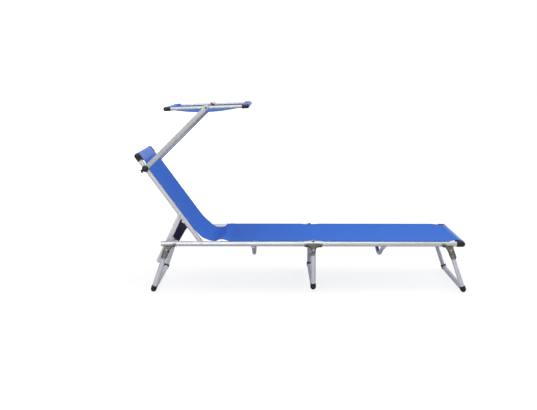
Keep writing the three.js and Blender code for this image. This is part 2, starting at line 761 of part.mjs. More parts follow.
function buildProp(backrest) {
  const seat = propSeat();
  const bars = group(backrest, -propReach, -propDrop, seat.turn);
  const shape = new THREE.Shape();
  shape.absarc(0, 0, propWidth / 2, -quarterTurn, quarterTurn, false);
  shape.absarc(-propLength + propWidth / 2, 0, propWidth / 2, quarterTurn, quarterTurn * 3, false);
  shape.closePath();
  for (const [where, side] of Object.entries(sides)) {
    const outside = side * (backrestInside - turnGap);
    const inside = side * (backrestInside - turnGap - propThickness);
    const reach = [outside + side * cutOverrun, inside - side * cutOverrun];
    const pivot = barY(...reach, 0, 0, boltDiameter + 2 * boreGap);
    const notches = [];
    for (let i = 0; i < notchCount; i += 1) {
      const below = propWidth / 2 - notchDepth + notchRadius;
      notches.push(barY(...reach, -seat.along + i * notchPitch, -below, notchRadius * 2));
    }
    add(bars, `prop_bar_${where}`, cut(plate(shape, outside, inside), pivot, ...notches), greyAluminium);
  }
  const panelHalf = backrestInside - turnGap - propThickness - pieceGap;
  const halfThick = prop.panelThickness / 2;
  const panelLow = prop.panelRise - prop.panelDepth;
  const upright = block([-halfThick, -panelHalf, panelLow], [halfThick, panelHalf, prop.panelRise]);
  const panel = upright.rotate([0, prop.panelTilt, 0]).translate([-prop.panelOut, 0, 0]);
  add(bars, "prop_cross_panel", panel, charcoalPanel);
}

// Canopy arms, drawn lying back to -X from the clamp, and the canopy that they carry

function canopyArm(side) {
  const half = armWidth / 2;
  const flat = armThickness / 2;
  const section = (inset) => {
    const path = inset > 0 ? new THREE.Path() : new THREE.Shape();
    path.absarc(half - flat, 0, flat - inset, -quarterTurn, quarterTurn, false);
    path.absarc(-half + flat, 0, flat - inset, quarterTurn, quarterTurn * 3, false);
    path.closePath();
    return path;
  };
  const outline = section(0);
  outline.holes.push(section(armWall));
  const end = armWidth * armEndShare;
  const geometry = prism(outline, armLength + end * 2);
  geometry.rotateY(-quarterTurn);
  geometry.translate(end, side * (armInside + flat), 0);
  const y = side * (armInside + flat);
  const reach = flat + cutOverrun;
  const hole = (x) => barY(y - reach, y + reach, x, 0, boltDiameter + 2 * boreGap);
  return cut(solid(geometry), hole(0), hole(-armLength));
}

const armEndShare = 0.6; // of the arm's width, beyond each pivot

const canopyPlug = { reach: 26, wall: 2, stop: 9 };
const canopyHalf = canopyLength / 2 - canopyTube / 2 - canopyPlug.wall;

function canopySling() {
  const lift = canopyTube / 2 + clothLift;
  const start = wrapStart(-canopyHalf, lift, wrapTurn);
  const wrapped = { turn: -wrapTurn, radius: lift, steps: wrapSteps };
  const straight = { run: canopyPlug.reach, steps: 1 };
  const tapered = { run: canopyHem, steps: hemSteps };
  const path = profile(start, wrapTurn, [
    wrapped,
    straight,
    tapered,
    { run: (canopyHalf - canopyPlug.reach - canopyHem) * 2, steps: seatSteps },
    tapered,
    straight,
    wrapped,
  ]);
  const wrap = wrapTurn * lift;
  const openHalf = canopyY - canopyTube / 2 - canopyEdgeGap;
  const sleeveHalf = canopyY - canopyPlug.reach - pieceGap * 4;
  const inward = (s) => Math.min(s - wrap, path.length - wrap - s);
  const opened = (s) => smooth((inward(s) - canopyPlug.reach) / canopyHem);
  const halfWidth = (s) => sleeveHalf + (openHalf - sleeveHalf) * opened(s);
  const sag = (s, v) => {
    const t = Math.min(Math.max(inward(s) / (canopyHalf * 2), 0), 1);
    return canopySag * 4 * t * (1 - t) * (1 + canopyEdgeShare * v * v) + (canopyTube / 2) * opened(s);
  };
  return sheet({ ...path, halfWidth, sag });
}

const canopyEdgeGap = 2;
const canopyHem = 24;
const canopyEdgeShare = 0.15;

function buildCanopy(backrest) {
  const arms = group(backrest, -armReach, 0, armAngle);
  for (const [where, side] of Object.entries(sides)) {
    add(arms, `canopy_arm_${where}`, canopyArm(side), bareAluminium);
  }
  const canopy = group(arms, -armLength, 0, -(backrestAngle + armAngle + canopyRise));
  const tubeEnd = canopyHalf - canopyPlug.stop - pieceGap;
  for (const [where, side] of Object.entries(sides)) {
    const y = side * canopyY;
    const tube = barX(-tubeEnd, tubeEnd, y, 0, canopyTube, canopyWall);
    add(canopy, `canopy_side_${where}`, tube, bareAluminium);
    const holder = armClamp(side, 0, y, canopyTube, side * bossInside, false);
    add(canopy, `tilt_clamp_${where}`, holder, blackPlastic);
    wingKnob(canopy, `tilt_knob_${where}`, 0, y, canopyTube, side * bossInside);
    const corner = (x, along) => elbow(x, y, 0, along, -side, canopyTube, canopyPlug);
    add(canopy, `canopy_front_corner_${where}`, corner(canopyHalf, -1), blackPlastic);
    add(canopy, `canopy_rear_corner_${where}`, corner(-canopyHalf, 1), blackPlastic);
  }
  const barEnd = canopyY - canopyPlug.stop - pieceGap;
  const bar = (x) => barY(-barEnd, barEnd, x, 0, canopyTube, canopyWall);
  add(canopy, "canopy_front_bar", bar(canopyHalf), bareAluminium);
  add(canopy, "canopy_rear_bar", bar(-canopyHalf), bareAluminium);
  add(canopy, "canopy_sling", canopySling(), blueCloth);
}

// The whole lounger

const lounger = new THREE.Group();
buildRear(lounger);
buildFront(lounger);
legFrame(lounger, "rear", -rearLegBack, 1, legSplay, 0);
legFrame(lounger, "middle", 0, 1, 0, middleFootClear);
legFrame(lounger, "front", frontLegOut, -1, legSplay, 0);
const raised = buildBackrest(lounger);
buildProp(raised);
buildCanopy(raised);

const extent = new THREE.Box3().setFromObject(lounger, true);
lounger.position.x = -(extent.min.x + extent.max.x) / 2;
lounger.position.z = -extent.min.z;
const object = new THREE.Group();
object.add(lounger);

export default object;
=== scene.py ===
# A folding sun lounger with a tilting canopy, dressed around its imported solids. All lengths are metres.
# +X points to the foot end, -Y is the near side, and the floor is Z = 0.
import json
import math

import bmesh
import bpy
import numpy as np
from mathutils import Euler, Matrix, Vector, noise


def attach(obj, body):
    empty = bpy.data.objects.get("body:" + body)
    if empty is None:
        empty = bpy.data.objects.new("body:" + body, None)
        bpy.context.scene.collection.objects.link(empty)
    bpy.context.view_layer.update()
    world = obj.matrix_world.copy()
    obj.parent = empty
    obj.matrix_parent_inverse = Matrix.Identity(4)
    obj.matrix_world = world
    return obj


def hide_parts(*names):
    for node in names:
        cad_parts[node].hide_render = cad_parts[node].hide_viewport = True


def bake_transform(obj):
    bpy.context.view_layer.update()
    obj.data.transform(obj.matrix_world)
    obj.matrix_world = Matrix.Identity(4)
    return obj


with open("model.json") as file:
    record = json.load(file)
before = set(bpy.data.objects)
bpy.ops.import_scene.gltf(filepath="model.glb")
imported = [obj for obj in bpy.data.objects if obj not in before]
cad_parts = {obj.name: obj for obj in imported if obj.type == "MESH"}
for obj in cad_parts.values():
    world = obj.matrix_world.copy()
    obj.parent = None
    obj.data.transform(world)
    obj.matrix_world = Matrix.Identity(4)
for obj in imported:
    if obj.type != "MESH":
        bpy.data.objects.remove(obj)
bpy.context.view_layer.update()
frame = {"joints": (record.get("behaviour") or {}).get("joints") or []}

scene = bpy.context.scene
pivot = {joint["name"]: Vector(joint["pos_m"]) for joint in frame["joints"]}
sides = {"near": -1, "far": 1}
up = Vector((0, 0, 1))
print("frame loaded")

# Camera, fitted to the photograph

camera = {
    "place": (-0.1315, -4.944, 1.1147),
    "turn": (math.pi / 2 - 0.1413, 0, 0.0076),
    "focal": 926.4 / 537 * 36,
    "sensor": 36,
}
lens = bpy.data.cameras.new("camera")
lens.sensor_width = camera["sensor"]
lens.lens = camera["focal"]
viewer = bpy.data.objects.new("camera", lens)
scene.collection.objects.link(viewer)
viewer.location = camera["place"]
viewer.rotation_euler = Euler(camera["turn"])
scene.camera = viewer

# Sizes that several pieces share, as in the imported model

railY, railZ, railRadius = 0.277, 0.25, 0.013
backY, backRadius = 0.251, 0.0115
canopyY, canopyRadius = 0.254, 0.0085
legRadius, tubeWall, boltHole, cutOver = 0.0125, 0.0012, 0.0048, 0.02
armReach, armLength, armInside, armThickness = 0.476, 0.437, 0.2668, 0.01
clothThickness, clothGap = 0.0012, 0.0003
clothLift = clothGap + clothThickness / 2
seatLevel = railZ + railRadius + clothLift
headX = -(0.566 - backRadius - 0.0016)
footX = 0.776 - railRadius - 0.0016
canopyEnd = 0.217 - canopyRadius - 0.002
backTilt, armTilt, canopyTilt = 54, 81.3, 2


def frameAt(x, z, angle=0):
    return Matrix.Translation((x, 0, z)) @ Matrix.Rotation(math.radians(angle), 4, "Y")


foldX = pivot["front_fold"].x
bedFrame = frameAt(foldX, 0)
hip = pivot["backrest_recline"]
backFrame = frameAt(hip.x, hip.z, backTilt)
armFrame = backFrame @ frameAt(-armReach, 0, armTilt)
canopyFrame = armFrame @ frameAt(-armLength, 0, -(backTilt + armTilt + canopyTilt))

alongY = Matrix.Rotation(math.pi / 2, 4, "Z")
alongZ = Matrix.Rotation(-math.pi / 2, 4, "Y")

# Shaders


def linear(red, green, blue):
    def one(value):
        share = value / 255
        return share / 12.92 if share <= 0.04045 else ((share + 0.055) / 1.055) ** 2.4
    return (one(red), one(green), one(blue), 1)


def put(tree, kind, inputs=None, **settings):
    made = tree.nodes.new(kind)
    for key, value in settings.items():
        setattr(made, key, value)
    for key, value in (inputs or {}).items():
        value = getattr(value, "socket", value)
        if isinstance(value, bpy.types.NodeSocket):
            tree.links.new(value, made.inputs[key])
        else:
            made.inputs[key].default_value = value
    return made


def calculated(tree, operation, *values):
    return Level(tree, put(tree, "ShaderNodeMath", dict(enumerate(values)), operation=operation).outputs[0])


# A number in a node tree, so that sums in the tree read as sums
class Level:
    def __init__(self, tree, socket):
        self.tree, self.socket = tree, socket

    def run(self, operation, *others):
        return calculated(self.tree, operation, self, *others)

    def __add__(self, other):
        return self.run("ADD", other)

    def __mul__(self, other):
        return self.run("MULTIPLY", other)

    def __sub__(self, other):
        return self.run("SUBTRACT", other)

    def __rsub__(self, other):
        return calculated(self.tree, "SUBTRACT", other, self)

    __radd__, __rmul__ = __add__, __mul__


def vectorOf(tree, *values):
    return put(tree, "ShaderNodeCombineXYZ", dict(enumerate(values))).outputs[0]


def blended(tree, factor, first, second):
    return put(tree, "ShaderNodeMix", {0: factor, 6: first, 7: second}, data_type="RGBA").outputs[2]


def ranged(tree, value, low, high, toLow, toHigh, **settings):
    inputs = {0: value, 1: low, 2: high, 3: toLow, 4: toHigh}
    return Level(tree, put(tree, "ShaderNodeMapRange", inputs, **settings).outputs[0])


def newShader(name, **sockets):
    material = bpy.data.materials.new(name)
    material.use_nodes = True
    tree = material.node_tree
    surface = tree.nodes["Principled BSDF"]
    for key, value in sockets.items():
        surface.inputs[key.replace("_", " ")].default_value = value
    return material, tree, surface


def noiseOf(tree, vector, scale, detail, roughness=0.55):
    inputs = {"Vector": vector, "Scale": scale, "Detail": detail, "Roughness": roughness}
    return Level(tree, put(tree, "ShaderNodeTexNoise", inputs).outputs[0])


def stretched(tree, vector, across, along):
    return put(tree, "ShaderNodeMapping", {"Vector": vector, "Scale": (across, along, 1)}).outputs[0]


def bumped(tree, surface, height, distance, strength):
    bump = put(tree, "ShaderNodeBump", {"Height": height, "Distance": distance, "Strength": strength})
    tree.links.new(bump.outputs[0], surface.inputs["Normal"])


def painted(tree, surface, base, rough):
    for name, value in (("Base Color", base), ("Roughness", rough)):
        tree.links.new(getattr(value, "socket", value), surface.inputs[name])


# Tube metal: lines drawn along the tube, soft smudges and a few darker scuffs
def tubeShader(name, colour, dark, metallic, roughness, lines):
    wear = {"drawn": 0.22, "smudged": 0.4, "scuffs": (0.64, 0.8, 0, 0.3), "smudgeRough": 0.2,
            "scuffRough": 0.25, "polish": 0.12, "bump": 0.6}
    material, tree, surface = newShader(name, Metallic=metallic)
    place = put(tree, "ShaderNodeTexCoord").outputs
    drawn = noiseOf(tree, stretched(tree, place["UV"], lines["across"], lines["along"]), 1, 4)
    smudge = noiseOf(tree, place["Object"], lines["smudge"], 3)
    scuff = ranged(tree, noiseOf(tree, place["Object"], lines["scuff"], 5, 0.7), *wear["scuffs"])
    base = blended(tree, drawn * wear["drawn"] + smudge * wear["smudged"], linear(*colour), linear(*dark))
    rough = roughness - wear["polish"] + smudge * wear["smudgeRough"] + scuff * wear["scuffRough"]
    painted(tree, surface, blended(tree, scuff, base, linear(*dark)), rough)
    bumped(tree, surface, drawn, lines["depth"], wear["bump"])
    return material


drawnLines = {"across": 1400, "along": 16, "smudge": 7, "scuff": 60, "depth": 0.000014}
anodisedLines = {"across": 900, "along": 24, "smudge": 9, "scuff": 75, "depth": 0.000012}
# colour, colour in the drawn lines, share of metal, roughness, lines
tubeFinishes = {
    "tube_metal": ((226, 227, 230), (176, 177, 183), 0.6, 0.38, drawnLines),
    "back_metal": ((236, 237, 240), (192, 193, 198), 0.6, 0.4, drawnLines),
    "canopy_metal": ((200, 202, 204), (158, 160, 166), 0.6, 0.42, drawnLines),
    "leg_metal": ((233, 233, 241), (190, 190, 203), 0.45, 0.44, anodisedLines),
    # floor bars: a paler copy of the leg metal, painted light, since they lie in the seat's shade
    "floor_bar_lit_metal": ((248, 248, 252), (212, 212, 222), 0.35, 0.4, anodisedLines),
    "rivet_metal": ((214, 214, 214), (140, 140, 142), 0.85, 0.34, anodisedLines),
}
tubeMetal, backMetal, canopyMetal, legMetal, litFloorMetal, rivetMetal = [
    tubeShader(name, *finish) for name, finish in tubeFinishes.items()]


# Bracket steel: galvanised, with pale and dark crystals and a dull film in the hollows
def bracketShader(name, light, dark, filmed):
    steel = {"crystals": 240, "film": 26, "filmed": (0.45, 0.75, 0, 0.35), "grain": 900, "rough": 0.34,
             "sheenRough": 0.18, "filmRough": 0.12, "depth": 0.00008, "bump": 0.4}
    material, tree, surface = newShader(name, Metallic=0.55)
    place = put(tree, "ShaderNodeTexCoord").outputs["Object"]
    crystal = put(tree, "ShaderNodeTexVoronoi",
                  {"Vector": place, "Scale": steel["crystals"]}).outputs["Color"]
    sheen = Level(tree, put(tree, "ShaderNodeSeparateColor", {0: crystal}).outputs[0])
    film = noiseOf(tree, place, steel["film"], 4, 0.6)
    base = blended(tree, sheen, linear(*dark), linear(*light))
    base = blended(tree, ranged(tree, film, *steel["filmed"]), base, linear(*filmed))
    painted(tree, surface, base, steel["rough"] + sheen * steel["sheenRough"] + film * steel["filmRough"])
    bumped(tree, surface, noiseOf(tree, place, steel["grain"], 2), steel["depth"], steel["bump"])
    return material


# Moulded plastic: fine leathery grain, with greyer scuffs
def plasticShader():
    grain = {"fine": 1500, "coarse": 320, "scuff": 55, "scuffs": (0.56, 0.78, 0, 1), "hollow": 0.3,
             "rough": 0.36, "coarseRough": 0.14, "scuffRough": 0.2, "depth": 0.0001, "bump": 0.5}
    material, tree, surface = newShader("black_plastic")
    place = put(tree, "ShaderNodeTexCoord").outputs["Object"]
    fine, coarse = noiseOf(tree, place, grain["fine"], 2), noiseOf(tree, place, grain["coarse"], 3)
    scuff = ranged(tree, noiseOf(tree, place, grain["scuff"], 5, 0.7), *grain["scuffs"])
    base = blended(tree, scuff, linear(20, 20, 23), linear(46, 45, 45))
    base = blended(tree, coarse * grain["hollow"], base, linear(13, 13, 16))
    painted(tree, surface, base, grain["rough"] + coarse * grain["coarseRough"] + scuff * grain["scuffRough"])
    bumped(tree, surface, fine + coarse * 2, grain["depth"], grain["bump"])
    return material


fabric = {"hemFade": 0.0008, "hemShare": 0.45, "sleeveHighlightShare": 0.42, "rough": 0.92, "crownRough": -0.14,
          "bump": 0.4}


# Woven cloth. The UV map is in metres, x across and y along.
# The edge attribute is the way to the nearest edge.
def weaveShader(name, colour, dark, hem, sleeveHighlight, weave):
    material, tree, surface = newShader(name, Sheen_Weight=0.03, Sheen_Roughness=0.5, Specular_IOR_Level=0.2)
    colour, dark, hem, sleeveHighlight = linear(*colour), linear(*dark), linear(*hem), linear(*sleeveHighlight)
    spot = put(tree, "ShaderNodeTexCoord").outputs["UV"]
    ways = [Level(tree, way).run("DIVIDE", weave["pitch"])
            for way in put(tree, "ShaderNodeSeparateXYZ", {0: spot}).outputs[:2]]
    warpYarn, weftYarn = [way.run("FLOOR") for way in ways]
    warp, weft = [(way * math.pi).run("SINE").run("ABSOLUTE") for way in ways]
    over = (warpYarn + weftYarn).run("FLOORED_MODULO", 2)
    under = 1 - over
    height = warp * over + weft * under
    yarns = vectorOf(tree, warpYarn * over, weftYarn * under)
    yarnTone = put(tree, "ShaderNodeTexWhiteNoise", {"Vector": yarns}, noise_dimensions="2D").outputs["Value"]
    cloudy = noiseOf(tree, stretched(tree, spot, weave["cloud"], weave["cloud"]), 1, 4)
    # painted shade: the hollows between the yarns are drawn darker the lower the weave lies there
    base = blended(tree, (1 - height) * weave["gapShade"], colour, dark)
    base = blended(tree, Level(tree, yarnTone) * weave["yarn"], base, dark)
    base = blended(tree, cloudy * weave["patch"], base, dark)
    edge, doubled = [Level(tree, put(tree, "ShaderNodeAttribute", attribute_name=given).outputs["Fac"])
                     for given in ("edge", "doubled")]
    inHem = ranged(tree, edge, weave["hem"], weave["hem"] + fabric["hemFade"], fabric["hemShare"], 0)
    base = blended(tree, inHem, base, hem)
    # painted highlight: where the cloth is doubled round a bar it is drawn paler, as if it caught more light
    base = blended(tree, doubled * fabric["sleeveHighlightShare"], base, sleeveHighlight)
    painted(tree, surface, base, fabric["rough"] + height * fabric["crownRough"])
    bumped(tree, surface, height, weave["depth"], fabric["bump"])
    return material


slingWeave = {"pitch": 0.0013, "cloud": 9, "gapShade": 0.7, "yarn": 0.14, "patch": 0.16, "hem": 0.0155,
              "depth": 0.0002}
panelWeave = {"pitch": 0.0018, "cloud": 30, "gapShade": 1.0, "yarn": 0.4, "patch": 0.5, "hem": -1.0,
              "depth": 0.0003}
# colour, colour in the gaps (painted shade), colour in the hem, painted highlight where the cloth is doubled
# round a bar, weave
clothFinishes = {
    "sling_cloth": ((46, 112, 213), (33, 87, 185), (40, 86, 168), (150, 168, 214), slingWeave),
    "thread": ((58, 104, 190), (40, 78, 150), (52, 92, 166), (90, 94, 104), panelWeave),
    "prop_panel": ((60, 67, 92), (34, 38, 54), (40, 45, 60), (90, 94, 104), panelWeave),
}
slingCloth, threadCloth, panelCloth = [weaveShader(name, *finish) for name, finish in clothFinishes.items()]
# pale crystals, dark crystals, dull film
steelFinishes = {
    "bracket_steel": ((138, 138, 128), (112, 112, 103), (90, 89, 79)),
    # the raised rims: darker steel, painted shade along the brackets' curved edges
    "bracket_rim_shade": ((92, 92, 80), (62, 62, 54), (46, 45, 38)),
    "pin_steel": ((62, 60, 58), (40, 39, 38), (28, 27, 27)),
    "saddle_steel": ((196, 196, 194), (160, 160, 160), (140, 139, 136)),
}
bracketSteel, rimShadeSteel, pinSteel, saddleSteel = [
    bracketShader(name, *finish) for name, finish in steelFinishes.items()]
blackPlastic = plasticShader()
print("shaders made")

# Shapes. A shell is (vertices, faces, UVs of each face's corners).


def joined(*shells):
    vertices, faces, uvs = [], [], []
    for points, polygons, spots in shells:
        first = len(vertices)
        vertices += points
        faces += [[index + first for index in polygon] for polygon in polygons]
        uvs += spots
    return vertices, faces, uvs


def moved(shell, matrix):
    points, polygons, spots = shell
    return [matrix @ Vector(point) for point in points], polygons, spots


# A profile of (along, radius) turned round +X. A closed profile makes a ring or a hollow tube.
def revolve(profile, segments, closed=False):
    vertices, faces, uvs, rings = [], [], [], []
    for along, radius in profile:
        first = len(vertices)
        if radius < 1e-7:
            vertices.append((along, 0, 0))
            rings.append([first] * segments)
            continue
        for step in range(segments):
            angle = math.tau * step / segments
            vertices.append((along, radius * math.cos(angle), radius * math.sin(angle)))
        rings.append(list(range(first, first + segments)))
    widest = max(radius for _, radius in profile)
    lengths = [0.0]
    count = len(profile) if closed else len(profile) - 1
    for index in range(count):
        here, there = profile[index], profile[(index + 1) % len(profile)]
        lengths.append(lengths[-1] + math.dist(here, there))
        low, high = rings[index], rings[(index + 1) % len(profile)]
        for step in range(segments):
            after = (step + 1) % segments
            corners, spots = [], []
            around = [(low[step], step, 0), (low[after], step + 1, 0), (high[after], step + 1, 1),
                      (high[step], step, 1)]
            for vertex, turned, row in around:
                if vertex in corners:
                    continue
                corners.append(vertex)
                spots.append((math.tau * widest * turned / segments, lengths[index + row]))
            if len(corners) > 2:
                faces.append(corners)
                uvs.append(spots)
    return vertices, faces, uvs


def tubeX(low, high, radius):
    inner, lip, segments = radius - tubeWall, 0.0004, 40
    profile = [(low + lip, radius), (high - lip, radius), (high, radius - lip), (high, inner + lip / 2),
               (high - lip, inner), (low + lip, inner), (low, inner + lip / 2), (low, radius - lip)]
    return revolve(profile, segments, closed=True)


def barX(low, high, radius, edge=0.0006, segments=40):
    edge = min(edge, radius / 2, (high - low) / 3)
    profile = [(low, 0), (low, radius - edge), (low + edge * 0.3, radius - edge * 0.3), (low + edge, radius),
               (high - edge, radius), (high - edge * 0.3, radius - edge * 0.3), (high, radius - edge),
               (high, 0)]
    return revolve(profile, segments)


def ballX(radius, segments=36):
    rings = segments // 2
    profile = [(-radius * math.cos(math.pi * k / rings), radius * math.sin(math.pi * k / rings))
               for k in range(rings + 1)]
    profile[0], profile[-1] = (-radius, 0), (radius, 0)
    return revolve(profile, segments)


# A domed head that stands on the plane x = 0 and points to +X
def domeX(radius, height):
    rim, rings, segments = height * 0.25, 7, 28
    profile = [(-rim, 0), (-rim, radius), (rim, radius)]
    for step in range(1, rings):
        angle = math.pi / 2 * step / rings
        profile.append((rim + (height - rim) * math.sin(angle), radius * math.cos(angle)))
    return revolve(profile + [(height, 0)], segments)


def placed(shell, x, y, z, turn=None):
    return moved(shell, Matrix.Translation((x, y, z)) @ (turn or Matrix.Identity(4)))


# The round shapes again, along Y (towards the middle or away) and along Z
def crossBar(low, high, x, z, radius, **more):
    return placed(barX(min(low, high), max(low, high), radius, **more), x, 0, z, alongY)


def crossTube(low, high, x, z, radius):
    return placed(tubeX(low, high, radius), x, 0, z, alongY)


def headOn(side, y, x, z, radius, height):
    turn = alongY if side > 0 else Matrix.Rotation(-math.pi / 2, 4, "Z")
    return placed(domeX(radius, height), x, y, z, turn)


def blockOf(low, high):
    corners = [Vector((x, y, z)) for x in (low[0], high[0]) for y in (low[1], high[1])
               for z in (low[2], high[2])]
    faces = [[0, 1, 3, 2], [4, 6, 7, 5], [0, 4, 5, 1], [2, 3, 7, 6], [0, 2, 6, 4], [1, 5, 7, 3]]
    uvs = [[(corners[i].y + corners[i].x, corners[i].z + corners[i].x * 0.5) for i in face] for face in faces]
    return corners, faces, uvs


# A flat outline in X and Z, from one Y to another, with rounded edges
def plateOf(outline, low, high, edge=0.0005, segments=2):
    low, high = min(low, high), max(low, high)
    made = bmesh.new()
    made.faces.new([made.verts.new((x, low, z)) for x, z in outline])
    pushed = bmesh.ops.extrude_face_region(made, geom=list(made.faces))
    raised = [item for item in pushed["geom"] if isinstance(item, bmesh.types.BMVert)]
    bmesh.ops.translate(made, verts=raised, vec=(0, high - low, 0))
    bmesh.ops.recalc_face_normals(made, faces=list(made.faces))
    rims = [one for one in made.edges if abs(one.verts[0].co.y - one.verts[1].co.y) < 1e-7]
    sharp = [one for one in made.edges if one not in rims and one.calc_face_angle(0) > math.radians(35)]
    bmesh.ops.bevel(made, geom=rims + sharp, offset=edge, segments=segments, affect="EDGES", profile=0.5,
                    clamp_overlap=True)
    made.verts.index_update()
    vertices = [vertex.co.copy() for vertex in made.verts]
    faces = [[vertex.index for vertex in face.verts] for face in made.faces]
    uvs = [[(vertex.co.z, vertex.co.x + vertex.co.y) for vertex in face.verts] for face in made.faces]
    made.free()
    return vertices, faces, uvs


def meshObject(name, vertices, faces, uvs, material):
    mesh = bpy.data.meshes.new(name)
    mesh.from_pydata([tuple(vertex) for vertex in vertices], [], faces)
    layer = mesh.uv_layers.new(name="metres")
    layer.data.foreach_set("uv", [value for face in uvs for spot in face for value in spot])
    made = bpy.data.objects.new(name, mesh)
    scene.collection.objects.link(made)
    mesh.materials.append(material)
    return made


def objectOf(name, shell, material):
    made = meshObject(name, *shell, material)
    faceOut(made.data)
    return made


def faceOut(mesh):
    made = bmesh.new()
    made.from_mesh(mesh)
    bmesh.ops.recalc_face_normals(made, faces=list(made.faces))
    made.to_mesh(mesh)
    made.free()


def baked(made):
    bpy.context.view_layer.update()
    graph = bpy.context.evaluated_depsgraph_get()
    mesh = bpy.data.meshes.new_from_object(made.evaluated_get(graph), preserve_all_data_layers=True,
                                           depsgraph=graph)
    made.modifiers.clear()
    old = made.data
    made.data = mesh
    bpy.data.meshes.remove(old)
    return made


# One soft skin over overlapping shells, as a moulding has
def moulded(name, shell, material, voxel=0.0006, rounds=4):
    made = objectOf(name, shell, material)
    skin = made.modifiers.new("skin", "REMESH")
    skin.mode = "VOXEL"
    skin.voxel_size = voxel
    skin.use_smooth_shade = True
    soften = made.modifiers.new("soften", "SMOOTH")
    soften.factor = 0.5
    soften.iterations = rounds
    return baked(made)


def drilled(made, *cutters):
    for cutter in cutters:
        tool = objectOf("tool", cutter, made.data.materials[0])
        hole = made.modifiers.new("hole", "BOOLEAN")
        hole.operation = "DIFFERENCE"
        hole.solver = "EXACT"
        hole.object = tool
        baked(made)
        bpy.data.objects.remove(tool)
    return made


def settle(made, matrix, body, slot, *nodes, sharp=35):
    made.data.transform(matrix)
    made.data.shade_smooth()
    made.data.set_sharp_from_angle(angle=math.radians(sharp))
    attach(made, body)
    if nodes:
        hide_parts(*nodes)


# Makes the far piece as the mirror of the near one
def mirrored(made, name):
    twin = bpy.data.objects.new(name, made.data.copy())
    scene.collection.objects.link(twin)
    twin.data.transform(Matrix.Scale(-1, 4, (0, 1, 0)))
    twin.data.flip_normals()
    return twin


# Moves the near piece and its mirror, the far one, into place on their body and hides the CAD nodes that they
# stand for
def pair(node, made, matrix, body, slot, sharp=35):
    far = mirrored(made, f"fine_{node}_far")
    settle(far, matrix, body, slot, f"{node}_far", sharp=sharp)
    settle(made, matrix, body, slot, f"{node}_near", sharp=sharp)


def arc(x, z, radius, start, end, steps):
    angles = [math.radians(start + (end - start) * step / steps) for step in range(steps + 1)]
    return [(x + radius * math.cos(angle), z + radius * math.sin(angle)) for angle in angles]


def bezier(steps, *points):
    path, degree = [], len(points) - 1
    for step in range(1, steps + 1):
        t = step / steps
        shares = [math.comb(degree, k) * t**k * (1 - t) ** (degree - k) for k in range(degree + 1)]
        path.append(tuple(sum(share * point[i] for share, point in zip(shares, points)) for i in (0, 1)))
    return path


def smooth(t):
    held = min(max(t, 0.0), 1.0)
    return held * held * (3 - 2 * held)


# Geometry Nodes


def spreadOn(group, points, instance, **more):
    return put(group, "GeometryNodeInstanceOnPoints",
               {"Points": points, "Instance": instance, **more}).outputs[0]


def nodeGroup(name, **inputs):
    group = bpy.data.node_groups.new(name, "GeometryNodeTree")
    group.interface.new_socket(name="Geometry", in_out="INPUT", socket_type="NodeSocketGeometry")
    for label, kind in inputs.items():
        group.interface.new_socket(name=label, in_out="INPUT", socket_type="NodeSocket" + kind)
    group.interface.new_socket(name="Geometry", in_out="OUTPUT", socket_type="NodeSocketGeometry")
    start = group.nodes.new("NodeGroupInput").outputs
    return group, {socket.name: Level(group, socket) for socket in start if socket.name}


def ended(group, geometry, material):
    real = put(group, "GeometryNodeRealizeInstances", {0: geometry}).outputs[0]
    coated = put(group, "GeometryNodeSetMaterial", {"Geometry": real, "Material": material}).outputs[0]
    put(group, "NodeGroupOutput", {0: coated})


def grown(made, group, values):
    modifier = made.modifiers.new(group.name, "NODES")
    modifier.node_group = group
    for item in group.interface.items_tree:
        if item.item_type == "SOCKET" and item.in_out == "INPUT" and item.name in values:
            modifier[item.identifier] = values[item.name]
    return baked(made)


# Domed heads on the vertices of a mesh, all turned alike
def headGroup():
    group, given = nodeGroup("rivet_heads", Radius="Float", Height="Float", Turn="Vector",
                             Material="Material")
    radius, height, washer = given["Radius"], given["Height"], {"wide": 1.3, "tall": 0.3}
    dome = put(group, "GeometryNodeMeshUVSphere", {"Segments": 20, "Rings": 10, "Radius": radius}).outputs[0]
    scale = vectorOf(group, 1, 1, height.run("DIVIDE", radius))
    head = put(group, "GeometryNodeTransform", {"Geometry": dome, "Scale": scale}).outputs[0]
    disc = put(group, "GeometryNodeMeshCylinder", {"Vertices": 24, "Radius": radius * washer["wide"],
                                                   "Depth": height * washer["tall"]}).outputs[0]
    both = put(group, "GeometryNodeJoinGeometry")
    for part in (head, disc):
        group.links.new(part, both.inputs[0])
    ended(group, spreadOn(group, given["Geometry"], both.outputs[0], Rotation=given["Turn"]),
          given["Material"])
    return group


# Small stitches along the edges of a mesh, a thread's turn apart
def stitchGroup():
    group, given = nodeGroup("stitch_line", Spacing="Float", Length="Float", Thread="Float",
                             Material="Material")
    line = put(group, "GeometryNodeMeshToCurve", {0: given["Geometry"]}).outputs[0]
    even = put(group, "GeometryNodeResampleCurve", {"Curve": line, "Length": given["Spacing"]}, mode="LENGTH")
    tangent = put(group, "GeometryNodeInputTangent").outputs[0]
    turned = put(group, "FunctionNodeAlignEulerToVector", {"Vector": tangent}, axis="X").outputs[0]
    bead = put(group, "GeometryNodeMeshUVSphere", {"Segments": 6, "Rings": 4, "Radius": 0.5}).outputs[0]
    random = put(group, "FunctionNodeRandomValue", {"Seed": 7}, data_type="FLOAT")
    numbers = [socket for socket in random.inputs if socket.name in ("Min", "Max") and socket.type == "VALUE"]
    for socket, value in zip(numbers, (0.85, 1.1)):
        socket.default_value = value
    factor = [socket for socket in random.outputs if socket.type == "VALUE"][0]
    size = vectorOf(group, given["Length"] * factor, given["Thread"], given["Thread"])
    ended(group, spreadOn(group, even.outputs[0], bead, Rotation=turned, Scale=size), given["Material"])
    return group


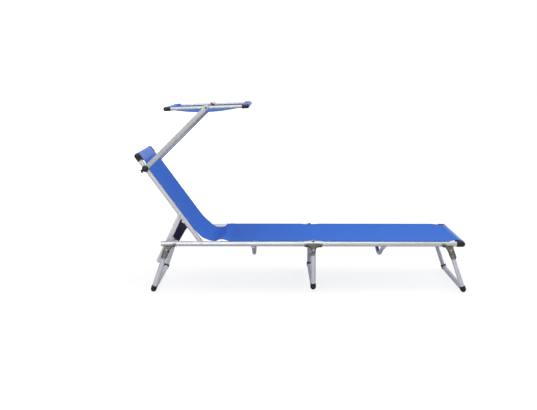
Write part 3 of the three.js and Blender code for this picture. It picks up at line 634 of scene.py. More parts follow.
# Raised rings round a moulding, evenly spaced along +Z
def ribGroup():
    group, given = nodeGroup("rib_rings", Count="Int", Pitch="Float", Radius="Float", Thickness="Float",
                             Material="Material")
    step = vectorOf(group, 0, 0, given["Pitch"])
    line = put(group, "GeometryNodeMeshLine", {"Count": given["Count"], "Offset": step}).outputs[0]
    ring, thread = [put(group, "GeometryNodeCurvePrimitiveCircle",
                        {"Resolution": sides, "Radius": radius}).outputs[0]
                    for sides, radius in ((44, given["Radius"]), (8, given["Thickness"]))]
    rib = put(group, "GeometryNodeCurveToMesh", {"Curve": ring, "Profile Curve": thread}).outputs[0]
    ended(group, spreadOn(group, line, rib), given["Material"])
    return group


# The bowed stretcher: a tube whose centre falls as the squared cosine of its place across.
# Its ends are pressed flat.
def bowGroup():
    group, given = nodeGroup("stretcher_bow", Half="Float", Inside="Float", End="Float", Fall="Float",
                             Radius="Float", Flat="Float", Material="Material")
    pressedOver, widening, rows, sides = 0.03, 0.06, 97, 28

    def centreAt(place):
        share = place.run("ABSOLUTE").run("DIVIDE", given["Inside"]).run("MINIMUM", 1)
        wave = (share * (math.pi / 2)).run("COSINE")
        return given["End"] - given["Fall"] * (wave * wave)

    start, end = [vectorOf(group, 0, half) for half in (given["Half"] * -1, given["Half"])]
    line = put(group, "GeometryNodeCurvePrimitiveLine", {"Start": start, "End": end}).outputs[0]
    fine = put(group, "GeometryNodeResampleCurve", {"Curve": line, "Count": rows}, mode="COUNT").outputs[0]
    spot = put(group, "ShaderNodeSeparateXYZ",
               {0: put(group, "GeometryNodeInputPosition").outputs[0]}).outputs
    x, y, z = [Level(group, socket) for socket in spot]
    bent = put(group, "GeometryNodeSetPosition",
               {"Geometry": fine, "Position": vectorOf(group, x, y, centreAt(y))}).outputs[0]
    section = put(group, "GeometryNodeCurvePrimitiveCircle", {"Resolution": sides, "Radius": given["Radius"]})
    body = put(group, "GeometryNodeCurveToMesh",
               {"Curve": bent, "Profile Curve": section.outputs[0], "Fill Caps": True}).outputs[0]
    # towards each end the tube is pressed flat against the rail above it, and widens
    pressed = ranged(group, y.run("ABSOLUTE"), given["Inside"] - pressedOver, given["Inside"], 0, 1,
                     interpolation_type="SMOOTHSTEP")
    top = centreAt(y) + given["Radius"]
    height = 1 - pressed * (1 - given["Flat"])
    shaped = vectorOf(group, x * (1 + pressed * widening), y, top + (z - top) * height)
    final = put(group, "GeometryNodeSetPosition", {"Geometry": body, "Position": shaped}).outputs[0]
    ended(group, final, given["Material"])
    return group


headsOn, stitchesOn, ribsRound, bowOf = headGroup(), stitchGroup(), ribGroup(), bowGroup()


def pointObject(name, points, edges=()):
    mesh = bpy.data.meshes.new(name)
    mesh.from_pydata([tuple(point) for point in points], list(edges), [])
    made = bpy.data.objects.new(name, mesh)
    scene.collection.objects.link(made)
    return made


def ribs(name, places, pitch, radius, thickness, body):
    ring = {"Count": 4, "Pitch": pitch, "Radius": radius, "Thickness": thickness, "Material": blackPlastic}
    rings = []
    for index, matrix in enumerate(places):
        rings.append(grown(pointObject(f"{name}_{index}", [(0, 0, 0)]), ribsRound, ring))
        rings[-1].data.transform(matrix)
    settle(merged(name, rings), Matrix.Identity(4), body, "black_plastic", sharp=80)


# Joins objects into one mesh, and each keeps its own material
def merged(name, parts):
    whole = bmesh.new()
    materials = []
    for part in parts:
        first = len(whole.faces)
        whole.from_mesh(part.data)
        whole.faces.ensure_lookup_table()
        for face in whole.faces[first:]:
            material = part.data.materials[face.material_index]
            if material not in materials:
                materials.append(material)
            face.material_index = materials.index(material)
    mesh = bpy.data.meshes.new(name)
    whole.to_mesh(mesh)
    whole.free()
    for material in materials:
        mesh.materials.append(material)
    for part in parts:
        bpy.data.objects.remove(part)
    made = bpy.data.objects.new(name, mesh)
    scene.collection.objects.link(made)
    return made


# Main rails with their fold hinge

hinge = {"eye": 0.007, "leaf": 0.004, "fork": 0.002, "gap": 0.0003, "root": 0.026, "depth": 0.014,
         "lift": 0.0005, "clear": 0.0005, "pin": 0.0036, "head": 0.0056}
hingeZ = railZ + railRadius + hinge["lift"]


def hingePlate(direction, low, high):
    eye, clear = hinge["eye"], hinge["eye"] + hinge["clear"]
    tail = [(0, eye * 0.6), (direction * hinge["root"], eye * 0.2),
            (direction * hinge["root"], -hinge["depth"]),
            (direction * clear, -hinge["depth"]), (direction * clear, -eye * 0.5), (0, -eye * 0.5)]
    disc = placed(barX(low, high, eye, edge=0.0004), 0, 0, 0, alongY)
    return placed(joined(disc, plateOf(tail, low, high, edge=0.0003)), 0, 0, hingeZ)


def hingeCut(y):
    half = hinge["leaf"] / 2 + hinge["gap"] * 2 + hinge["fork"] + 0.0005
    return crossBar(y - half, y + half, 0, hingeZ, hinge["eye"] + 0.0006)


def rearRails():
    rivet = {"radius": 0.0075, "height": 0.003, "nut": 0.006, "nutHeight": 0.002, "pin": 0.004,
             "through": 0.0395, "sunk": 0.0004}
    pin = {"past": 0.0012, "sunk": 0.0002, "height": 0.002}
    y, far, back = -railY, rivet["through"] - railY, hip.x - foldX
    rail = placed(tubeX(-0.78, -0.001, railRadius), 0, y, railZ)
    made = drilled(objectOf("fine_rear_rail_near", rail, tubeMetal), hingeCut(y))
    inner = hinge["leaf"] / 2 + hinge["gap"]
    outer = inner + hinge["fork"]
    pinShell = joined(
        crossBar(y - outer - pin["past"], y + outer + pin["past"], 0, hingeZ, hinge["pin"]),
        *[headOn(way, y + way * (outer + pin["sunk"]), 0, hingeZ, hinge["head"], pin["height"])
          for way in (-1, 1)],
    )
    extras = joined(
        hingePlate(-1, y - outer, y - inner),
        hingePlate(-1, y + inner, y + outer),
        crossBar(y - railRadius, far, back, railZ, rivet["pin"]),
        headOn(-1, y - railRadius + rivet["sunk"], back, railZ, rivet["radius"], rivet["height"]),
        headOn(1, far, back, railZ, rivet["nut"], rivet["nutHeight"]),
    )
    parts = [made, objectOf("extras", extras, tubeMetal), objectOf("pin", pinShell, pinSteel)]
    pair("rear_rail", merged("fine_rear_rail_near", parts), bedFrame, "rear_frame", "frame_tube")


def frontRails():
    y, half, hole = -railY, hinge["leaf"] / 2, 0.004
    rail = placed(tubeX(0.001, footX - footCap["stop"], railRadius), 0, y, railZ)
    made = drilled(objectOf("fine_front_rail_near", rail, tubeMetal), hingeCut(y))
    plate = objectOf("leaf", hingePlate(1, y - half, y + half), tubeMetal)
    plate = drilled(plate, crossBar(y - cutOver, y + cutOver, 0, hingeZ, hole))
    pair("front_rail", merged("fine_front_rail_near", [made, plate]), bedFrame, "front_frame", "frame_tube")


# A moulded elbow on two tubes that meet at right angles, with a lip at each mouth
def elbow(name, x, y, z, inward, radius, reach):
    lip, lipLength = 0.0008, 0.004
    shells = [placed(ballX(radius), x, y, z)]
    for turn, way in ((None, inward), (alongY, 1)):
        for start, size in ((0, radius), (reach - lipLength, radius + lip)):
            low, high = sorted((way * start, way * reach))
            shells.append(placed(barX(low, high, size, segments=36), x, y, z, turn))
    return moulded(name, joined(*shells), blackPlastic)


# The corner caps at one end of a frame, the ribs on them and the crossbar between them
def cappedBar(corner, bar, x, y, z, inward, radius, cap, matrix, body, metal):
    outer = radius + cap["wall"]
    made = elbow(f"fine_{corner}_near", x, -y, z, inward, outer, cap["reach"])
    pair(corner, made, matrix, body, "black_plastic", sharp=60)
    turn = Matrix.Rotation(math.pi / 2 * inward, 4, "Y")
    places = [matrix @ Matrix.Translation((x + inward * cap["ribsFrom"], side * y, z)) @ turn
              for side in (-1, 1)]
    ribs(f"{corner}_ribs", places, cap["pitch"], outer, cap["rib"], body)
    end = y - cap["stop"]
    tube = objectOf(f"fine_{bar}", crossTube(-end, end, x, z, radius), metal)
    settle(tube, matrix, body, "frame_tube", bar)


footCap = {"wall": 0.0016, "reach": 0.03, "stop": 0.0153, "pitch": 0.0045, "rib": 0.0006, "ribsFrom": 0.006}


def footEnd():
    cappedBar("foot_corner", "foot_crossbar", footX, railY, railZ, -1, railRadius, footCap, bedFrame,
              "front_frame", tubeMetal)


def stretchers():
    bow = {"Half": railY + 0.005, "Inside": railY - railRadius, "End": 0.2267, "Fall": 0.0737,
           "Radius": 0.01, "Flat": 0.3, "Material": legMetal}
    for node, x, body in (("rear_stretcher", -0.308, "rear_frame"),
                          ("front_stretcher", 0.364, "front_frame")):
        made = grown(pointObject(f"fine_{node}", [(0, 0, 0)]), bowOf, bow)
        faceOut(made.data)
        settle(made, bedFrame @ Matrix.Translation((x, 0, 0)), body, "leg_tube", node, sharp=50)


# Pressed brackets: two cheeks beside the leg, a plate under the rail, a stop, a bolt and a raised rim, whose
# darker colour is painted shade.
# u runs from the leg's pivot towards the fold, and v runs up.

bracket = {"sheet": 0.002, "inside": 0.0133, "wing": 0.05, "tee": 0.0465, "wingTop": 0.005,
           "wingTall": 0.009, "corner": 0.0035, "cover": 0.048, "teeCover": 0.028, "tongue": 0.0065,
           "tab": 0.0225, "rim": 0.0016, "stopFrom": 0.016, "stopTo": 0.03, "bolt": 0.004,
           "hook": (0.02, 0.022), "dip": (0.027, 0.032), "plate": 0.042, "nut": (0.0062, 0.003),
           "head": (0.0052, 0.0022), "rivet": (0.003, 0.0014), "catch": (0.0105, -0.0075, 0.006, 0.0028)}
railLevel = railZ - pivot["front_leg_fold"].z
plateTop = railLevel - railRadius - 0.0003


def onLeg(splay, along, across):
    lean = math.radians(splay)
    return (across * math.cos(lean) - along * math.sin(lean),
            -along * math.cos(lean) - across * math.sin(lean))


def hookOutline(splay, top, tall, dipped):
    wing, corner, cover, tab = bracket["wing"], bracket["corner"], bracket["cover"], bracket["tab"]
    behind, beside, wrap = 0.01, legRadius + 0.0015, 0.0135
    points = [(-behind, top - corner)]
    if dipped:
        points = [(-behind - 0.001, tab - corner), (-behind, tab), (-0.003, tab), (0.002, plateTop),
                  (0.009, plateTop)]
        points += bezier(9, points[-1], bracket["dip"], (0.036, top))
    points += [(wing - corner, top)] + bezier(4, (wing - corner, top), (wing, top), (wing, top - corner))
    lower = [(wing, top - tall)]
    lower += bezier(14, lower[0], bracket["hook"], onLeg(splay, cover / 2, beside))
    lower += [onLeg(splay, cover - 0.006, legRadius - 0.001)]
    lower += bezier(5, lower[-1], onLeg(splay, cover, legRadius - 0.002), onLeg(splay, cover, 0.004))
    back = bezier(5, onLeg(splay, cover, -0.006), onLeg(splay, cover, -legRadius),
                  onLeg(splay, cover - 0.008, -wrap))
    back += [onLeg(splay, 0.006, -wrap - 0.0005)]
    return points + lower + back, lower[:-4], back


def teeOutline(top, tall):
    wing, corner, tongue = bracket["tee"], bracket["corner"], bracket["tongue"]
    low, neck = -bracket["teeCover"], (tongue + 0.0025, -0.004)
    half = [(wing - corner, top)] + bezier(4, (wing - corner, top), (wing, top), (wing, top - corner))
    lower = [(wing, top - tall)]
    lower += bezier(12, lower[0], (legRadius, top - tall - 0.002), neck) + [(tongue, low + tongue)]
    tip = bezier(5, lower[-1], (tongue, low), (0, low))
    mirror = [(-u, v) for u, v in reversed(half + lower + tip[:-1])]
    return half + lower + tip + mirror, lower, [(-u, v) for u, v in lower]


# A thin rod along a path in the XZ plane
def rodAlong(path, y, radius):
    vertices, faces, uvs, sides = [], [], [], 10
    for index, (x, z) in enumerate(path):
        before, after = path[max(index - 1, 0)], path[min(index + 1, len(path) - 1)]
        slope = math.atan2(after[1] - before[1], after[0] - before[0])
        for side in range(sides):
            angle = math.tau * side / sides
            out = radius * math.cos(angle)
            vertices.append((x - math.sin(slope) * out, y + radius * math.sin(angle),
                             z + math.cos(slope) * out))
    for index in range(len(path) - 1):
        for side in range(sides):
            first, second = index * sides, (index + 1) * sides
            after = (side + 1) % sides
            faces.append([first + side, first + after, second + after, second + side])
            uvs.append([(0, 0), (0, 1), (1, 1), (1, 0)])
    for first in (0, (len(path) - 1) * sides):
        faces.append([first + side for side in range(sides)])
        uvs.append([(0, 0)] * sides)
    return vertices, faces, uvs


def turnedTo(foldTo, points):
    return [(foldTo * u, v) for u, v in points]


def bracketPair(node, x, foldTo, splay, body, boltEnd):
    sheet, inside, y = bracket["sheet"], bracket["inside"] - railY, -railY
    outside, past = y - bracket["inside"] - sheet, inside + sheet
    wingTop, lowTall = railLevel + bracket["wingTop"], bracket["wingTall"] / 2
    if splay:
        outer, lower, back = hookOutline(splay, wingTop, bracket["wingTall"], True)
        inner, ahead = hookOutline(splay, plateTop, lowTall, False)[0], 0.01
        rivetsAt = [(bracket["wing"] - 0.006, railLevel), onLeg(splay, 0.03, 0), onLeg(splay, 0.043, 0)]
    else:
        outer, lower, back = teeOutline(wingTop, bracket["wingTall"])
        inner, ahead = teeOutline(plateTop, lowTall)[0], bracket["plate"]
        rivetsAt = [(way * (bracket["tee"] - 0.007), railLevel) for way in (1, -1)] + [(0, -0.02)]
    low, high = sorted((-foldTo * ahead, foldTo * bracket["plate"]))
    flat = [(low, plateTop - sheet), (high, plateTop - sheet), (high, plateTop), (low, plateTop)]
    lean = Matrix.Rotation(foldTo * math.radians(splay), 4, "Y")
    stop = blockOf((-sheet / 2, outside, -bracket["stopTo"]), (sheet / 2, past, -bracket["stopFrom"]))
    edge = 0.0006
    shell = joined(
        plateOf(turnedTo(foldTo, outer), outside, outside + sheet, edge),
        plateOf(turnedTo(foldTo, inner), inside, past, edge),
        plateOf(flat, outside + 0.0002, past - 0.0002),
        placed(stop, 0, 0, 0, lean @ Matrix.Translation((-foldTo * (legRadius + 0.0015), 0, 0))),
        placed(barX(0, bracket["nut"][1], bracket["nut"][0], segments=6), 0, past, 0, alongY),
    )
    rims = joined(*[rodAlong(turnedTo(foldTo, line), outside, bracket["rim"]) for line in (lower, back)])
    bolt = joined(
        crossBar(outside - 0.001, boltEnd, 0, 0, bracket["bolt"]),
        headOn(-1, outside + 0.0002, 0, 0, *bracket["head"]),
        *[headOn(-1, outside + 0.0003, foldTo * u, v, *bracket["rivet"]) for u, v in rivetsAt],
    )
    parts = [objectOf("sheet", shell, bracketSteel), objectOf("rims", rims, rimShadeSteel),
             objectOf("bolt", bolt, rivetMetal)]
    if node == "rear_bracket":
        u, v, *size = bracket["catch"]
        parts.append(objectOf("catch", headOn(-1, outside + 0.0004, foldTo * u, v, *size), blackPlastic))
    whole = merged(f"fine_{node}_near", parts)
    pair(node, whole, frameAt(foldX + x, pivot["front_leg_fold"].z), body, "bracket_steel", sharp=40)


def brackets():
    throughLeg = -railY + bracket["inside"] + bracket["sheet"] + 0.002
    bracketPair("rear_bracket", -0.752, 1, 19, "rear_frame", -0.235)
    bracketPair("middle_bracket", 0, 1, 0, "rear_frame", throughLeg)
    bracketPair("front_bracket", 0.702, -1, 19, "front_frame", throughLeg)


# Legs, floor bars and feet

foot = {"wall": 0.002, "reach": 0.018, "stop": 0.0131, "flat": 0.001, "above": 0.009,
        "lip": (0.0035, 0.0006), "ribsFrom": 0.002, "pitch": 0.0036, "rib": 0.00055}


def legSet(name, joint, foldTo, splay, clear):
    place = frameAt(pivot[joint].x, pivot[joint].z, foldTo * splay)
    body, outer, reach = f"{name}_legs", legRadius + foot["wall"], foot["reach"]
    down = (pivot[joint].z - clear - outer + foot["flat"]) / math.cos(math.radians(splay))
    tube = placed(tubeX(-down + foot["stop"], foot["above"], legRadius), 0, -railY, 0, alongZ)
    tube = drilled(objectOf(f"fine_{name}_leg_near", tube, legMetal),
                   crossBar(-railY - cutOver, -railY + cutOver, 0, 0, boltHole))
    pair(f"{name}_leg", tube, place, body, "leg_tube")
    sleeves = ((0, outer, alongZ), (reach - foot["lip"][0], outer + foot["lip"][1], alongZ),
               (0, outer, alongY))
    shells = [placed(barX(start, reach, size, segments=36), 0, -railY, -down, turn)
              for start, size, turn in sleeves]
    cap = moulded(f"fine_{name}_foot_near", joined(*shells, placed(ballX(outer), 0, -railY, -down)),
                  blackPlastic)
    cap.data.transform(place)
    for vertex in cap.data.vertices:
        vertex.co.z = max(vertex.co.z, clear)
    pair(f"{name}_foot", cap, Matrix.Identity(4), body, "black_plastic", sharp=60)
    places = [place @ Matrix.Translation((0, side * railY, foot["ribsFrom"] - down)) for side in (-1, 1)]
    ribs(f"{name}_foot_ribs", places, foot["pitch"], outer, foot["rib"], body)
    end = railY - foot["stop"]
    bar = crossTube(-end, end, 0, -down, legRadius)
    settle(objectOf(f"fine_{name}_floor_bar", bar, litFloorMetal), place, body, "leg_tube", f"{name}_floor_bar")


# Backrest frame


headCap = {"wall": 0.0016, "reach": 0.028, "stop": 0.0143, "pitch": 0.0042, "rib": 0.0006, "ribsFrom": 0.007}


def backrestFrame():
    y = -backY
    inside = y + backRadius
    pin = {"radius": 0.004, "through": 0.0065, "head": (0.0062, 0.0011), "nut": (0.0058, 0.0018),
           "nutAt": 0.0052}
    x, z = -prop["reach"], -prop["drop"]
    rail = placed(tubeX(headX + headCap["stop"], 0.012, backRadius), 0, y, 0)
    made = drilled(objectOf("tube", rail, backMetal), crossBar(y - cutOver, y + cutOver, 0, 0, boltHole))
    shell = joined(
        crossBar(y - backRadius - 0.0004, inside + pin["through"], x, z, pin["radius"]),
        headOn(-1, y - backRadius + 0.0003, x, z, *pin["head"]),
        headOn(1, inside + pin["nutAt"], x, z, *pin["nut"]),
    )
    whole = merged("fine_backrest_rail_near", [made, objectOf("pin", shell, tubeMetal)])
    pair("backrest_rail", whole, backFrame, "backrest", "frame_tube")
    cappedBar("head_corner", "head_crossbar", headX, backY, 0, 1, backRadius, headCap, backFrame, "backrest",
              tubeMetal)


# Prop bars with rounded ends and notches, and the dark panel across them

prop = {"reach": 0.181, "drop": 0.0025, "length": 0.278, "half": 0.012, "thickness": 0.004, "pitch": 0.034,
        "count": 3, "depth": 0.003, "notch": 0.0053, "panelOut": 0.118, "panelHigh": 0.008,
        "panelLow": -0.054, "panelHalf": 0.2347, "panelTilt": 14, "gap": 0.0005}


def propSeat():
    tilt = math.radians(backTilt)
    x = hip.x - prop["reach"] * math.cos(tilt) - prop["drop"] * math.sin(tilt)
    z = hip.z + prop["reach"] * math.sin(tilt) - prop["drop"] * math.cos(tilt)
    bolt = pivot["rear_leg_fold"]
    distance = math.hypot(bolt.x - x, bolt.z - z)
    beside = prop["half"] - prop["depth"] + bracket["bolt"] + prop["gap"]
    heading = math.atan2(bolt.z - z, bolt.x - x) - math.asin(beside / distance)
    return math.sqrt(distance**2 - beside**2), math.degrees(math.pi - heading) - backTilt


def propSet():
    along, turn = propSeat()
    place = backFrame @ frameAt(-prop["reach"], -prop["drop"], turn)
    half, far, notch = prop["half"], -prop["length"] + prop["half"], prop["notch"]
    y = -(backY - backRadius - 0.0005)
    outline = arc(0, 0, half, -90, 90, 16) + arc(far, 0, half, 90, 270, 16)
    cuts = [(0, 0, boltHole)] + [(index * prop["pitch"] - along, prop["depth"] - half - notch, notch)
                                 for index in range(prop["count"])]
    bar = objectOf("fine_prop_bar_near", plateOf(outline, y, y + prop["thickness"], edge=0.0006), legMetal)
    bar = drilled(bar, *[crossBar(y - cutOver, y + cutOver, *cut) for cut in cuts])
    pair("prop_bar", bar, place, "prop", "leg_tube")
    low, high, wide, thin = prop["panelLow"] + 0.003, prop["panelHigh"], prop["panelHalf"], 0.0015
    sheet = plateOf([(-thin, low), (thin, low), (thin, high), (-thin, high)], -wide, wide)
    lips = [crossBar(-wide, wide, 0, height, 0.0026) for height in (low, high - 0.002)]
    tabs = [blockOf((-0.006, side * wide - 0.0012, -0.009), (0.006, side * wide + 0.0012, 0.006))
            for side in (-1, 1)]
    lean = Matrix.Rotation(math.radians(prop["panelTilt"]), 4, "Y")
    tilt = Matrix.Translation((-prop["panelOut"], 0, 0)) @ lean
    panel = objectOf("fine_prop_cross_panel", joined(sheet, *lips, *tabs), panelCloth)
    settle(panel, place @ tilt, "prop", "prop_panel", "prop_cross_panel")


# Clamps, wing knobs, canopy arms and canopy frame

clamp = {"length": 0.03, "wall": 0.0035, "gap": 0.0003, "boss": 0.004, "bossRadius": 0.007,
         "head": (0.005, 0.0022), "lip": 0.0006, "screw": 0.004, "armGap": 0.0004,
         "cover": (0.0172, 0.0052, 0.0165)}


def clampPair(node, x, y, radius, matrix, body, towards, openAt, covered):
    half, long, screw = radius + clamp["gap"] + clamp["wall"], clamp["length"] / 2, clamp["screw"]
    lip, lipLength, web = half + clamp["lip"], 0.003, 0.007
    sleeves = ((-long, long, half, 0.0012), (-long, lipLength - long, lip, 0.0006),
               (long - lipLength, long, lip, 0.0006))
    shell = joined(
        *[placed(barX(low, high, size, edge), x, y, 0) for low, high, size, edge in sleeves],
        placed(barX(0, half + clamp["boss"], clamp["bossRadius"]), x, y, 0,
               Matrix.Rotation(math.radians(towards), 4, "X") @ alongZ),
        blockOf((x - long, 0.0005 - armInside, -web), (x + long, y, web)),
    )
    made = moulded(f"fine_{node}_near", shell, blackPlastic if covered else saddleSteel)
    for vertex in made.data.vertices:
        vertex.co.z = min(vertex.co.z, openAt)
        vertex.co.y = max(vertex.co.y, clamp["armGap"] - armInside)
    outside = -(armInside + armThickness)
    parts = [made, objectOf("pin", crossBar(-armInside + 0.002, outside - 0.001, x, 0, screw), pinSteel)]
    if covered:
        wide, deep, tall = clamp["cover"]
        cover = moved(ballX(1, 40),
                      Matrix.Translation((x, outside, 0)) @ Matrix.Diagonal((wide, deep, tall, 1)))
        drum = placed(barX(0, 0.0024, wide * 0.86), x, outside - deep / 2, 0, alongY)
        shade = objectOf("cover", joined(cover, drum, headOn(-1, outside - 0.0036, x, 0, 0.0055, 0.002)),
                         blackPlastic)
        for vertex in shade.data.vertices:
            vertex.co.y = min(vertex.co.y, outside - 0.0003)
        parts.append(shade)
    else:
        parts.append(objectOf("head", headOn(-1, outside - 0.0004, x, 0, *clamp["head"]), pinSteel))
    whole = merged(f"fine_{node}_near", parts)
    pair(node, whole, matrix, body, "black_plastic" if covered else "bracket_steel", sharp=60)


knob = {"hub": 0.0055, "height": 0.006, "lift": 0.0068, "stem": 0.0065, "spread": 24, "thick": 0.0024,
        "tall": 0.0054}


def wingKnob(node, turn, wingAt, wing):
    onArm = "arm" in node
    joint = next(joint for joint in frame["joints"] if joint["name"] == f"{node}_turn")
    direction, centre = Vector(joint["axis"]), pivot[f"{node}_turn"]
    tube = pivot["canopy_swing" if onArm else "canopy_tilt"]
    outward = centre - Vector((tube.x, centre.y * (1 if onArm else 1.1), tube.z))
    if direction.dot(outward) < 0:
        direction = -direction
    place = Matrix.Translation(centre) @ up.rotation_difference(direction).to_matrix().to_4x4()
    place = place @ Matrix.Rotation(math.radians(turn), 4, "Z")
    petal = Matrix.Diagonal((wing, knob["thick"], knob["tall"], 1))
    wings = []
    for side in (-1, 1):
        lean = Matrix.Rotation(math.radians(side * knob["spread"]), 4, "Y")
        wings.append(moved(ballX(1, 24), Matrix.Translation((side * wingAt, 0, knob["lift"])) @ lean @ petal))
    hub = placed(barX(0, knob["height"], knob["hub"]), 0, 0, 0, alongZ)
    made = moulded("cap", joined(hub, *wings), blackPlastic, voxel=0.00035, rounds=3)
    stem = objectOf("stem", placed(barX(-knob["stem"], 0.002, 0.003), 0, 0, 0, alongZ), blackPlastic)
    settle(merged(f"fine_{node}", [made, stem]), place, node, "black_plastic", node, sharp=60)


def canopyArms():
    half, longer, inside, outside = 0.0125, 0.0025, -armInside, -armInside - armThickness
    outline = arc(longer, 0, half, -90, 90, 20) + arc(-armLength - longer, 0, half, 90, 270, 20)
    made = objectOf("fine_canopy_arm_near", plateOf(outline, inside, outside, edge=0.0044, segments=6),
                    canopyMetal)
    made = drilled(made,
                   *[crossBar(outside - cutOver, inside + cutOver, x, 0, boltHole) for x in (0, -armLength)])
    pair("canopy_arm", made, armFrame, "canopy_arms", "frame_tube", sharp=50)


canopyCap = {"wall": 0.002, "reach": 0.026, "stop": 0.0093, "pitch": 0.004, "rib": 0.0005, "ribsFrom": 0.006}


def canopyTubes():
    end = canopyEnd - canopyCap["stop"]
    side = placed(tubeX(-end, end, canopyRadius), 0, -canopyY, 0)
    pair("canopy_side", objectOf("fine_canopy_side_near", side, canopyMetal), canopyFrame, "canopy",
         "frame_tube")
    for where, inward in (("front", -1), ("rear", 1)):
        cappedBar(f"canopy_{where}_corner", f"canopy_{where}_bar", -inward * canopyEnd, canopyY, 0, inward,
                  canopyRadius, canopyCap, canopyFrame, "canopy", canopyMetal)


rearRails()
frontRails()
footEnd()
stretchers()
print("main frame made")
brackets()
legSet("rear", "rear_leg_fold", 1, 19, 0)
legSet("middle", "middle_leg_fold", 1, 0, 0.012)
legSet("front", "front_leg_fold", -1, 19, 0)
print("legs made")
backrestFrame()
propSet()
clampPair("arm_clamp", -armReach, -backY, backRadius, backFrame, "backrest", 180, backRadius * 0.6, True)
clampPair("tilt_clamp", 0, -canopyY, canopyRadius, canopyFrame, "canopy", -90, 1, False)
canopyArms()
canopyTubes()
for side, way in sides.items():
    wingKnob(f"arm_knob_{side}", 35, 0.0052, 0.0062)
    wingKnob(f"tilt_knob_{side}", -48 * way, 0.0088, 0.008)
print("backrest and canopy frames made")

# Cloth. A path is a list of (x, z) points in the XZ plane. Each row of the sheet stands square to it.

cloth = {"rowStep": 0.005, "columns": 58, "hemStep": 0.0006, "hemFrom": 0.0148, "hemOver": 0.0016,
         "seamGap": 0.0018, "wrinkle": 0.0011}
stitch = {"above": 0.00012, "column": 5, "pitch": 0.0036, "length": 0.0029, "thread": 0.0007,
          "ends": (0.004, 0.009)}
rearRailPieces = ["fine_rear_rail_near", "fine_rear_rail_far"]
edgeOffsets = [0, 0.0012, 0.0035, 0.007, 0.011, 0.0148, 0.0164, 0.02, 0.025]


def resampled(points, step):
    lengths = [0.0]
    for here, there in zip(points, points[1:]):
        lengths.append(lengths[-1] + math.dist(here, there))
    count = max(int(round(lengths[-1] / step)), 2)
    at = np.linspace(0, lengths[-1], count + 1)
    xs = np.interp(at, lengths, [point[0] for point in points])
    zs = np.interp(at, lengths, [point[1] for point in points])
    return at, xs, zs


# halfAt(s) is the half width at s along the path, and liftAt(s, y) how far the cloth stands above it
def clothSheet(name, points, halfAt, liftAt, doubledAt, start=0.0):
    at, xs, zs = resampled(points, cloth["rowStep"])
    slopes = np.unwrap(np.arctan2(np.gradient(zs, at), np.gradient(xs, at)))
    vertices, spots, edges, doubles = [], [], [], []
    for s, x, z, slope in zip(at, xs, zs, slopes):
        half = halfAt(s)
        rim = [half - offset for offset in edgeOffsets[:-1]]
        inner = half - edgeOffsets[-1]
        for y in [-y for y in rim] + list(np.linspace(-inner, inner, cloth["columns"])) + rim[::-1]:
            toEdge = half - abs(y)
            hem = 1 - smooth((toEdge - cloth["hemFrom"]) / cloth["hemOver"])
            lift = liftAt(s, y) + cloth["hemStep"] * hem
            vertices.append((x - math.sin(slope) * lift, y, z + math.cos(slope) * lift))
            spots.append((y, s + start))
            edges.append(toEdge)
            doubles.append(doubledAt(s))
    width = len(edgeOffsets[:-1]) * 2 + cloth["columns"]
    faces = [[row * width + column, row * width + column + 1, (row + 1) * width + column + 1,
              (row + 1) * width + column] for row in range(len(at) - 1) for column in range(width - 1)]
    made = meshObject(name, vertices, faces, [[spots[index] for index in face] for face in faces], slingCloth)
    for label, values in (("edge", edges), ("doubled", doubles)):
        made.data.attributes.new(label, "FLOAT", "POINT").data.foreach_set("value", values)
    rows = np.array(vertices).reshape(len(at), width, 3)
    thicken = made.modifiers.new("thickness", "SOLIDIFY")
    thicken.thickness = clothThickness
    thicken.offset = 0
    thicken.use_even_offset = False
    baked(made)
    faceOut(made.data)
    made.data.shade_smooth()
    made.data.set_sharp_from_angle(angle=math.radians(50))
    return made, rows, at, float(at[-1])


# Lines of stitches on a sheet: one along each edge, and straight across at some places
def stitchLines(name, rows, at, crossings, span):
    normals = np.cross(np.gradient(rows, axis=1), np.gradient(rows, axis=0))
    normals /= np.linalg.norm(normals, axis=2, keepdims=True)
    normals *= np.sign(normals[len(rows) // 2, rows.shape[1] // 2, 2])
    surface = rows + normals * (clothThickness / 2 + stitch["above"])
    inside = [index for index, s in enumerate(at) if span[0] <= s <= span[1]]
    last, fromEdge = rows.shape[1] - 1, stitch["column"]
    lines = [surface[inside, fromEdge], surface[inside, last - fromEdge]]
    lines += [surface[int(np.argmin(np.abs(at - s))), 3:-3] for s in crossings]
    points, edges = [], []
    for line in lines:
        edges.extend((len(points) + index, len(points) + index + 1) for index in range(len(line) - 1))
        points.extend(line)
    made = grown(pointObject(name, points, edges), stitchesOn,
                 {"Spacing": stitch["pitch"], "Length": stitch["length"], "Thread": stitch["thread"],
                  "Material": threadCloth})
    made.data.shade_smooth()
    return made


# A sleeve round a bar at (x, z): up from the seam below, round the bar and back over its top.
# towards is the direction in which the sheet leaves the bar, +1 or -1 along X.
def sleeve(x, z, radius, seam, towards):
    low = (seam, radius - cloth["seamGap"])
    first = math.degrees(math.atan2(low[1], low[0]) - math.acos(radius / math.hypot(*low)))
    points = [low] + arc(0, 0, radius, first, -270, 40) + [(seam * 0.5, radius)]
    return [(x + towards * px, z + pz) for px, pz in points]


def inWorld(matrix, points):
    seen = [matrix @ Vector((x, 0, z)) for x, z in points]
    return [(point.x, point.z) for point in seen]


def drapeOver(y, railAt, radius):
    past = abs(y) - railAt
    return 0.0 if past <= 0 else math.sqrt(max(radius**2 - past**2, 0)) - radius


def rumple(x, y, scaleX, scaleY, seed):
    return noise.noise(Vector((x * scaleX, y * scaleY, seed)))


seat = {"half": 0.281, "hipHalf": 0.256, "sag": 0.009, "meet": 0.2, "notch": 0.016, "notchReach": 0.05,
        "notchRun": 0.012, "bend": 0.02, "dent": 0.0012, "seamIn": 0.014, "seamWide": 0.004,
        "nearLift": 0.015, "nearFrom": 0.08, "nearTo": 0.028}
